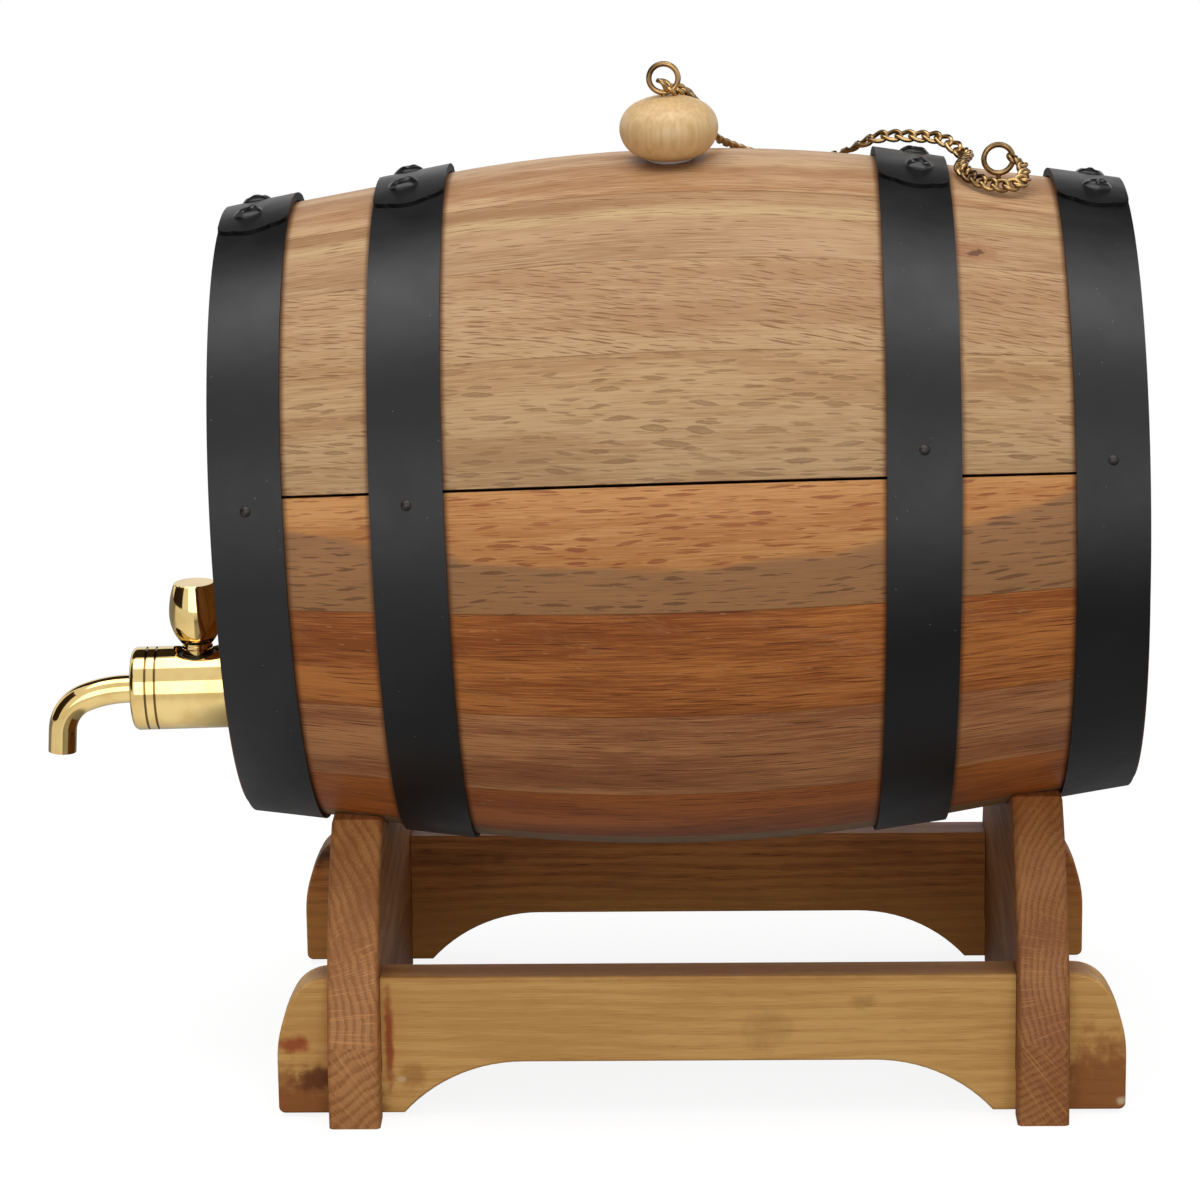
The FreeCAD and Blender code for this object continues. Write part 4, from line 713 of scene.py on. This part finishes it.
def turned_wood(name):
    """Pale turned wood of the bung, its grain upright."""
    material, graph, surface = new_material(name)
    place = tuple(graph.split(millimetres(graph)))
    hairs = graph.stretched_noise(place, (0.8, 0.8, 0.03), detail=3.0)
    broad = graph.stretched_noise(place, (0.28, 0.28, 0.03), detail=2.0)
    tone = graph.add(graph.times(hairs, 0.65), graph.times(broad, 0.35))
    graph.feed(surface, {
        "Base Color": graph.ramp(tone, *BUNG_COLOURS),
        "Roughness": graph.smooth(hairs, 0.3, 0.7, 0.5, 0.4),
        "Normal": graph.bump(hairs, 0.00008, 0.4),
        "Coat Weight": 0.15,
        "Coat Roughness": 0.3,
    })
    return material


# ---------------------------------------------------------------- shapes over the CAD

WELD_METRES = 1e-7
LINK_WIRE = 0.72
LINK_HALF_WIDTH = 1.75
LINK_TWIST = math.radians(38)
LINK_ROLL = math.radians(50)
LINK_STEPS = 24
WIRE_STEPS = 8
# How some links, counted from the bung, lie beside the plain chain: degrees back over the crown, height,
# distance along, and the share of the roll. The links between them share out the difference evenly.
CHAIN_LIES = (
    (0, 0, 0, 0, 1), (7, 0.4, -0.2, 0, 1), (8, 1.8, -0.8, 0, 0.6), (10, 3.2, -1.2, 0, 0.3),
    (12, 4.2, -1.4, 0, 0.2), (14, 5.0, -1.5, 0, 0.2), (17, 4.9, -1.5, 0, 0.2), (20, 4.0, -1.3, 0, 0.3),
    (21, 2.8, -0.9, 0, 0.5), (22, 1.0, -0.3, 0, 0.8), (23, 0.3, 0.6, 0, 1), (25, 0, 1.6, 0, 1),
    (27, 0, 2.8, 0, 1), (28, 0, 2.7, 0, 1), (30, 0, 0.6, 0, 1), (36, 0, 0, 0, 1), (38, 0, 0, -1.0, 1),
    (41, 0, 0, -3.4, 1), (43, 0, 0, -5.2, 1), (44, 0, 0, -5.0, 1), (46, 0, 0, -1.2, 1),
)
# Middles of the first links, which lie on the foot of the bung's ring.
FIRST_LINKS = (
    (27.3, -13.0, 302.2), (29.5, -11.4, 300.4), (31.9, -7.8, 299.9), (34.2, -4.2, 298.4),
    (36.3, -0.6, 295.9),
)


def separate_solids(node):
    """The corners of each solid in a CAD node, in mm of the row frame, in the order they were made."""
    work = bmesh.new()
    work.from_mesh(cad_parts[node].data)
    bmesh.ops.remove_doubles(work, verts=work.verts, dist=WELD_METRES)
    found = []
    seen = set()
    for first in work.verts:
        if first in seen:
            continue
        seen.add(first)
        solid = [first]
        for corner in solid:
            for edge in corner.link_edges:
                other = edge.other_vert(corner)
                if other not in seen:
                    seen.add(other)
                    solid.append(other)
        found.append(np.array([corner.co[:] for corner in solid]) / MM)
    work.free()
    return found


def middle_of(corners):
    return (corners.min(axis=0) + corners.max(axis=0)) / 2


def unit(vector):
    return vector / np.linalg.norm(vector)


def square_to(direction, vector):
    """The unit vector nearest to a vector at right angles to a direction."""
    return unit(vector - vector.dot(direction) * direction)


def tube_loop(path, radius):
    """Corners and faces of a wire bent along a closed path."""
    count = len(path)
    corners = []
    for index in range(count):
        along = unit(path[(index + 1) % count] - path[index - 1])
        inward = unit(path[index] - path.mean(axis=0))
        side = unit(np.cross(along, inward))
        out = np.cross(side, along)
        for step in range(WIRE_STEPS):
            angle = 2 * math.pi * step / WIRE_STEPS
            corners.append(path[index] + radius * (math.cos(angle) * out + math.sin(angle) * side))
    faces = []
    for index in range(count):
        for step in range(WIRE_STEPS):
            here, there = index * WIRE_STEPS, (index + 1) % count * WIRE_STEPS
            after = (step + 1) % WIRE_STEPS
            faces.append((here + step, here + after, there + after, there + step))
    return corners, faces


def curb_link(centre, along, out, pitch, roll):
    """One twisted link: its two ends are turned against each other, so that all links lie the same way."""
    across = np.cross(out, along)
    across, out = (
        math.cos(roll) * across + math.sin(roll) * out,
        math.cos(roll) * out - math.sin(roll) * across,
    )
    half_length = pitch / 2 + LINK_WIRE
    path = []
    for step in range(LINK_STEPS):
        turn = 2 * math.pi * step / LINK_STEPS
        twist = LINK_TWIST * math.cos(turn)
        reach = LINK_HALF_WIDTH * math.sin(turn)
        path.append(
            centre + half_length * math.cos(turn) * along
            + reach * (math.cos(twist) * across + math.sin(twist) * out)
        )
    return tube_loop(np.array(path), LINK_WIRE)


def chain_frames(centres):
    """Direction of each link and the way it faces, carried from link to link without twisting."""
    last = len(centres) - 1
    alongs = [unit(centres[min(i + 1, last)] - centres[max(i - 1, 0)]) for i in range(last + 1)]
    start = len(centres) // 2
    away = centres[start] - np.array(CASK_CENTRE)
    away[0] = 0
    outs = {start: square_to(alongs[start], away)}
    for i in range(start + 1, last + 1):
        outs[i] = square_to(alongs[i], outs[i - 1])
    for i in range(start - 1, -1, -1):
        outs[i] = square_to(alongs[i], outs[i + 1])
    return alongs, [outs[i] for i in range(last + 1)]


def add_object(name, data):
    made = bpy.data.objects.new(name, data)
    bpy.context.scene.collection.objects.link(made)
    return made


def add_piece(name, corners, faces, material, slot):
    """A smooth-shaded mesh from corners in mm."""
    mesh = bpy.data.meshes.new(name)
    mesh.from_pydata([tuple(float(c) * MM for c in corner) for corner in corners], [], faces)
    mesh.polygons.foreach_set("use_smooth", [True] * len(mesh.polygons))
    mesh.materials.append(material)
    mesh.update()
    piece = add_object(name, mesh)
    return piece


def joined(shapes):
    """Several (corners, faces) as one."""
    corners, faces = [], []
    for some_corners, some_faces in shapes:
        start = len(corners)
        corners.extend(some_corners)
        faces.extend(tuple(start + index for index in face) for face in some_faces)
    return corners, faces


def settled(centre, back, lift, shift):
    """A link's middle, turned back round the cask, lifted away from it and shifted along."""
    past = centre[0] - CASK_CENTRE[0]
    pivot = np.array((centre[0], CASK_CENTRE[1], CASK_CENTRE[2] - past * math.tan(CASK_TILT)))
    y, z = (centre - pivot)[1:]
    cos, sin = math.cos(math.radians(back)), math.sin(math.radians(back))
    away = np.array((0, y * cos + z * sin, z * cos - y * sin))
    return pivot + away + lift * unit(away) + np.array((shift, 0, 0))


def settled_links():
    """Middle and roll of each link of the chain, as it lies on the cask."""
    links, *columns = zip(*CHAIN_LIES)
    centres, rolls = [], []
    for index, plain_centre in enumerate(map(middle_of, separate_solids("chain"))):
        back, lift, shift, share = (np.interp(index, links, column) for column in columns)
        centre = np.array(FIRST_LINKS[index]) if index < len(FIRST_LINKS) else plain_centre
        centres.append(settled(centre, back, lift, shift))
        rolls.append(LINK_ROLL * share)
    return centres, rolls


def make_chain(material):
    """The twisted chain from the bung's ring to the cask's."""
    centres, rolls = settled_links()
    last = len(centres) - 1
    shapes = []
    for index, (along, out) in enumerate(zip(*chain_frames(centres))):
        before, after = max(index - 1, 0), min(index + 1, last)
        pitch = np.linalg.norm(centres[after] - centres[before]) / (after - before)
        shapes.append(curb_link(centres[index], along, out, pitch, rolls[index]))
    piece = add_piece("curb_chain", *joined(shapes), material, "aged_brass")
    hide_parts("chain")
    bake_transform(piece)


RIVET_RADIUS = 4.65
RIVET_HEIGHT = 2.1
# How far the rivets' dents are turned, in radians, one after the other.
RIVET_TURNS = (0.5, 1.1, 0.2)
RIVET_RINGS = 16
RIVET_SPOKES = 40
# Depths and heights on a rivet's head are shares of its height, other sizes shares of its radius.
SKIRT_DEPTH = 0.35
HOLLOW_DEPTH, HOLLOW_REACH = 0.5, 0.5
RIDGE_HEIGHT, RIDGE_WIDTH, RIDGE_REACH = 0.4, 0.16, 0.62
RIDGE_BEND, RIDGE_WAVES = 0.22, 4.4


def crater_height(u, v):
    """Height of a hammered rivet head over a point: a mound, hollowed, with an S-shaped ridge inside."""
    reach = math.hypot(u, v)
    mound = (1 - min(1.0, reach) ** 2) ** 0.8
    hollow = HOLLOW_DEPTH * math.exp(-((reach / HOLLOW_REACH) ** 4))
    from_ridge = v - RIDGE_BEND * math.sin(u * RIDGE_WAVES)
    ridge = RIDGE_HEIGHT * math.exp(-((from_ridge / RIDGE_WIDTH) ** 2))
    return mound - hollow + ridge * math.exp(-((reach / RIDGE_REACH) ** 6))


def hammered_head(centre, out, across):
    """A rivet head standing out from the hoop; its skirt goes into the lap."""
    other = np.cross(out, across)
    corners = [centre + out * RIVET_HEIGHT * crater_height(0, 0)]
    faces = []
    for ring in range(1, RIVET_RINGS + 2):
        share = ring / RIVET_RINGS
        for spoke in range(RIVET_SPOKES):
            angle = 2 * math.pi * spoke / RIVET_SPOKES
            wobble = 1 + 0.05 * math.sin(2 * angle + 0.6) + 0.03 * math.sin(5 * angle)
            u, v = share * math.cos(angle), share * math.sin(angle)
            height = crater_height(u, v) if ring <= RIVET_RINGS else -SKIRT_DEPTH
            reach = RIVET_RADIUS * wobble * min(share, 1.0)
            outward = math.cos(angle) * across + math.sin(angle) * other
            corners.append(centre + reach * outward + out * RIVET_HEIGHT * height)
    for spoke in range(RIVET_SPOKES):
        after = (spoke + 1) % RIVET_SPOKES
        faces.append((0, 1 + spoke, 1 + after))
        for ring in range(RIVET_RINGS):
            inner, outer = 1 + ring * RIVET_SPOKES, 1 + (ring + 1) * RIVET_SPOKES
            faces.append((inner + spoke, outer + spoke, outer + after, inner + after))
    return corners, faces


def axis_of(solid):
    """The axis that a turned solid was turned about."""
    values, vectors = np.linalg.eigh(np.cov(solid.T))
    odd = 0 if values[1] - values[0] > values[2] - values[1] else 2
    return vectors[:, odd]


def make_rivets(material):
    """Hammered heads in place of the plain ones, each standing on its hoop's lap."""
    shapes = []
    for order, solid in enumerate(separate_solids("lap_rivets")):
        centre = middle_of(solid)
        away = centre - np.array(CASK_CENTRE)
        away[0] = 0
        out = axis_of(solid)
        out = out * np.sign(out.dot(away))
        top = ((solid - centre) @ out).max()
        foot = centre + out * (top - RIVET_HEIGHT)
        around = unit(np.cross(out, (1, 0, 0)))
        along = np.cross(around, out)
        turn = RIVET_TURNS[order % len(RIVET_TURNS)]
        shapes.append(hammered_head(foot, out, math.cos(turn) * along + math.sin(turn) * around))
    piece = add_piece("hammered_rivets", *joined(shapes), material, "rivet_steel")
    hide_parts("lap_rivets")
    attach(piece, "cask")


# ---------------------------------------------------------------- dressing the frame

# Stains, blemishes, painted shadow and painted light on the stand's pieces: place and reach, colour and
# strength.
NEAR_RAIL_SPOTS = (
    ((-57.5, -78, 26), (1.7, 12, 20), (142, 44, 14), 0.8),
    ((-82, -78, 2), (24, 12, 19), (134, 72, 30), 0.85),
    ((-80, -78, 12), (8, 12, 5), (92, 44, 18), 0.8),
    ((-86, -78, 23), (6, 12, 3), (150, 50, 20), 0.8),
    # Painted shadow of the cask on the near rail's top.
    ((20, -71, 45.5), (400, 9, 3.2), (126, 70, 26), 0.85),
    ((56, -78, 27), (9, 12, 7), (132, 88, 44), 0.25),
    ((84, -78, 36), (5, 12, 3), (140, 98, 52), 0.4),
    ((156, -78, 8), (24, 12, 22), (136, 74, 32), 0.85),
    ((-50, -78, 13), (5, 12, 5), (150, 92, 42), 0.5),
    ((-54, -78, 12), (1.6, 12, 1.1), (212, 184, 140), 0.8),
    ((162, -78, 4), (1.8, 12, 1.6), (214, 190, 150), 0.8),
)
FAR_RAIL_SPOTS = (
    ((-91, 65, 39), (7, 14, 7), (52, 26, 10), 0.85),
    ((-50, 65, 36), (30, 14, 2.4), (70, 36, 14), 0.4),
    # Lighter along the far rail's lower part.
    ((30, 65, 8), (400, 14, 18), (196, 138, 70), 0.55),
)
CRADLE_GLUE = ((0, 60, 8), (30, 2.4, 2.0), (190, 164, 120), 0.7)
# Painted light: a warm tone along the cradles' tops, where they face up.
CRADLE_TOP_PAINTED_LIGHT = ((0, 0, 92), (400, 90, 7), (150, 90, 40), 0.55)
LOWER_SPOTS = (CRADLE_GLUE,)
UPPER_SPOTS = (CRADLE_TOP_PAINTED_LIGHT, CRADLE_GLUE)
# Each cradle board's colours, pith, distance between rings, seed, and stains and painted light.
CRADLE_LOOKS = {
    "front_upper": (FRONT_CRADLE_OAK, (-130, 30), 2.6, 1.0, UPPER_SPOTS),
    "front_lower": (FRONT_CRADLE_OAK, (-40, -26), 3.0, 2.0, LOWER_SPOTS),
    "rear_upper": (REAR_CRADLE_OAK, (190, 46), 1.9, 6.0, UPPER_SPOTS),
    "rear_lower": (REAR_CRADLE_OAK, (96, 70), 2.2, 7.0, LOWER_SPOTS),
}


def dress(material, *nodes):
    for node in nodes:
        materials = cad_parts[node].data.materials
        materials.clear()
        materials.append(material)


def dress_cask():
    for index in range(1, len(SEAMS)):
        dress(stave_material(index), f"stave_{index:02d}")
    for side, seed in (("front", 3.0), ("rear", 8.0)):
        dress(head_material(side, seed), f"head_{side}")


def dress_stand():
    near = stand_oak(
        "stand_oak_near", "x", NEAR_RAIL_OAK, (-40, -30), NEAR_RAIL_SPOTS, ring=3.4, contrast=0.35)
    dress(near, "rail_right")
    far = stand_oak(
        "stand_oak_far", "x", FAR_RAIL_OAK, (110, -40), FAR_RAIL_SPOTS, ring=3.2, seed=4.0, contrast=0.8)
    dress(far, "rail_left")
    for part, (colours, pith, ring, seed, spots) in CRADLE_LOOKS.items():
        board = stand_oak(
            f"stand_oak_{part}", "y", colours, pith, spots, ring=ring, seed=seed, contrast=0.45)
        dress(board, f"cradle_{part}")


def dress_metal():
    hoop = painted_steel("hoop_steel", *HOOP_PAINT)
    dress(hoop, "hoop_front_chime", "hoop_front_bilge", "hoop_rear_bilge", "hoop_rear_chime")
    rivet = painted_steel("rivet_steel", *RIVET_PAINT)
    dress(rivet, "lap_rivets")
    make_rivets(rivet)
    dress(painted_steel("nail_steel", *NAIL_PAINT), "hoop_nails")
    polished = brass("polished_brass", *BRIGHT_BRASS)
    dress(polished, "tap_spout", "tap_gland", "tap_plug", "tap_knob", "tap_nut")
    dress(brass("barrel_brass", *BRIGHT_BRASS, TAP_GROOVES), "tap_body")
    aged = brass("aged_brass", *AGED_BRASS)
    dress(aged, "cask_eye", "bung_eye", "chain")
    make_chain(aged)


def dress_small():
    dress(turned_wood("bung_wood"), "bung_stopper")
    dress(soft_material("silicone", *SILICONE), "bung_seal")
    rubber = soft_material("black_rubber", *RUBBER)
    dress(rubber, "tap_o_ring", "tap_washer_outer", "tap_washer_inner")


# ---------------------------------------------------------------- studio

# Where the camera looks and how far away it stands.
CAMERA_TARGET = (5.66, 0, 140.48)
CAMERA_DISTANCE = 1332.3
CAMERA_ELEVATION = math.radians(14.069)
CAMERA_TURN = math.radians(1.461)
CAMERA_ROLL = math.radians(-0.8)
SENSOR_WIDTH = 36
# The focal length, in pixels of a frame this wide.
FOCAL_PIXELS = 4288.7
FRAME_PIXELS = 1200
# The studio's sizes and places are in metres.
CLIP_END = 20
FLOOR_HALF = 6.0
CARDS = {
    "card_back": ((-1.6, 1.3, 0.78), (1.6, 1.3, 0.78), (1.6, 0.9, 2.6), (-1.6, 0.9, 2.6)),
    "card_left": ((-1.3, -0.9, 0.1), (-1.3, 0.5, 0.1), (-1.3, 0.5, 1.3), (-1.3, -0.9, 1.3)),
}
LAMP_TARGET = (0.03, 0, 0.15)
# Place, width and height, and watts of each lamp.
LAMPS = {
    "key_above": ((0.0, -0.15, 1.8), (2.2, 1.0), 19),
    "fill_front": ((0.0, -2.4, 0.7), (2.4, 1.6), 25),
}
WORLD_LIGHT = 0.42
WHITE = (1, 1, 1, 1)
BLACK = (0, 0, 0, 1)
FLOOR_GREYS = (rgb(122, 122, 122), rgb(126, 126, 126))
CARD_BROWNS = (rgb(44, 30, 18), rgb(58, 42, 28))
# The floor's shadow begins to fade this far from the middle (mm), and is gone at the second distance.
SHADOW_REACH = (180.0, 520.0)


def add_sheet(name, corners):
    """One flat face with four corners."""
    mesh = bpy.data.meshes.new(name)
    mesh.from_pydata(corners, [], [(0, 1, 2, 3)])
    return add_object(name, mesh)


def make_camera():
    level_reach = math.cos(CAMERA_ELEVATION)
    back = Vector((
        math.sin(CAMERA_TURN) * level_reach,
        -math.cos(CAMERA_TURN) * level_reach,
        math.sin(CAMERA_ELEVATION),
    ))
    level = (-back).cross(Vector((0, 0, 1))).normalized()
    upright = level.cross(-back)
    right = level * math.cos(CAMERA_ROLL) + upright * math.sin(CAMERA_ROLL)
    up = upright * math.cos(CAMERA_ROLL) - level * math.sin(CAMERA_ROLL)
    pose = Matrix((right, up, back)).transposed().to_4x4()
    pose.translation = (Vector(CAMERA_TARGET) + back * CAMERA_DISTANCE) * MM
    camera = add_object("camera", bpy.data.cameras.new("camera"))
    camera.data.sensor_width = SENSOR_WIDTH
    camera.data.lens = FOCAL_PIXELS * SENSOR_WIDTH / FRAME_PIXELS
    camera.data.clip_end = CLIP_END
    camera.matrix_world = pose
    bpy.context.scene.camera = camera


def seen_directly(graph):
    """1 for camera, mirror and glass rays, 0 for the rays that light things."""
    path = graph.node("LightPath").outputs
    return graph.largest(path["Is Camera Ray"], path["Is Glossy Ray"], path["Is Transmission Ray"])


def make_world():
    world = bpy.data.worlds.new("studio")
    world.use_nodes = True
    graph = Graph(world.node_tree)
    strength = graph.smooth(seen_directly(graph), 0.0, 1.0, WORLD_LIGHT, 1.0)
    graph.feed(world.node_tree.nodes["Background"], {"Strength": strength, "Color": WHITE})
    bpy.context.scene.world = world


def floor_glow(graph, x, y, reach, far):
    """How brightly the floor glows: white where it is seen; dimmer in mirrors near the stand and behind it,
    as painted shade in its reflections.

    Mirrors on the tap's side, before the stand's front end, see it bright.
    """
    mirrored = graph.node("LightPath").outputs["Is Glossy Ray"]
    direct = graph.smooth(far, 0.0, 1.0, 0.88, 1.0)
    # Painted shade: mirrors see the floor dimmer near the stand and behind it.
    outside = graph.smooth(reach, 350.0, 1100.0, 0.2, 0.9)
    tap_side = graph.smooth(x, -140.0, -118.0, 0.9, 0.2)
    shaded_mirror_glow = graph.times(graph.largest(outside, tap_side), graph.smooth(y, -50.0, 150.0, 1.0, 0.3))
    not_mirrored = graph.minus(1.0, mirrored)
    level = graph.add(graph.times(direct, not_mirrored), graph.times(shaded_mirror_glow, mirrored))
    return graph.times(seen_directly(graph), level)


def make_floor():
    """A white sheet that keeps a faint shadow near the stand and runs out into plain white."""
    signs = ((-1, -1), (1, -1), (1, 1), (-1, 1))
    floor = add_sheet("floor", [(FLOOR_HALF * x, FLOOR_HALF * y, 0) for x, y in signs])
    material = bpy.data.materials.new("floor_white")
    material.use_nodes = True
    material.node_tree.nodes.clear()
    graph = Graph(material.node_tree)
    place = millimetres(graph)
    x, y, _ = graph.split(place)
    reach = graph.length(x, y)
    far = graph.smooth(reach, *SHADOW_REACH)
    grey = graph.mix(graph.noise(place, 0.01, 2.0), *FLOOR_GREYS)
    paper = graph.node("BsdfDiffuse", {"Color": graph.mix(far, grey, BLACK)})
    glow = graph.node("Emission", {"Color": WHITE, "Strength": floor_glow(graph, x, y, reach, far)})
    both = graph.node("AddShader", {0: paper.outputs[0], 1: glow.outputs[0]})
    graph.node("OutputMaterial", {"Surface": both.outputs[0]})
    floor.data.materials.append(material)


def add_card(name, corners):
    """A dark card that only mirrors see, as the unlit side of a studio."""
    card = add_sheet(name, corners)
    material, graph, surface = new_material(name)
    cloth = graph.noise(millimetres(graph), 0.02, 2.0)
    graph.feed(surface, {
        "Base Color": graph.mix(cloth, *CARD_BROWNS),
        "Roughness": 1.0,
    })
    card.data.materials.append(material)
    card.visible_camera = False
    card.visible_diffuse = False
    card.visible_shadow = False
    card.visible_transmission = False


def add_lamp(name, place, size, power):
    lamp = bpy.data.lights.new(name, "AREA")
    lamp.shape = "RECTANGLE"
    lamp.size, lamp.size_y = size
    lamp.energy = power
    made = add_object(name, lamp)
    made.location = place
    made.rotation_euler = (Vector(LAMP_TARGET) - Vector(place)).to_track_quat("-Z", "Y").to_euler()


dress_cask()
dress_stand()
dress_metal()
dress_small()
make_camera()
make_world()
make_floor()
for name, corners in CARDS.items():
    add_card(name, corners)
for name, facts in LAMPS.items():
    add_lamp(name, *facts)
bpy.context.scene.view_settings.view_transform = "Standard"
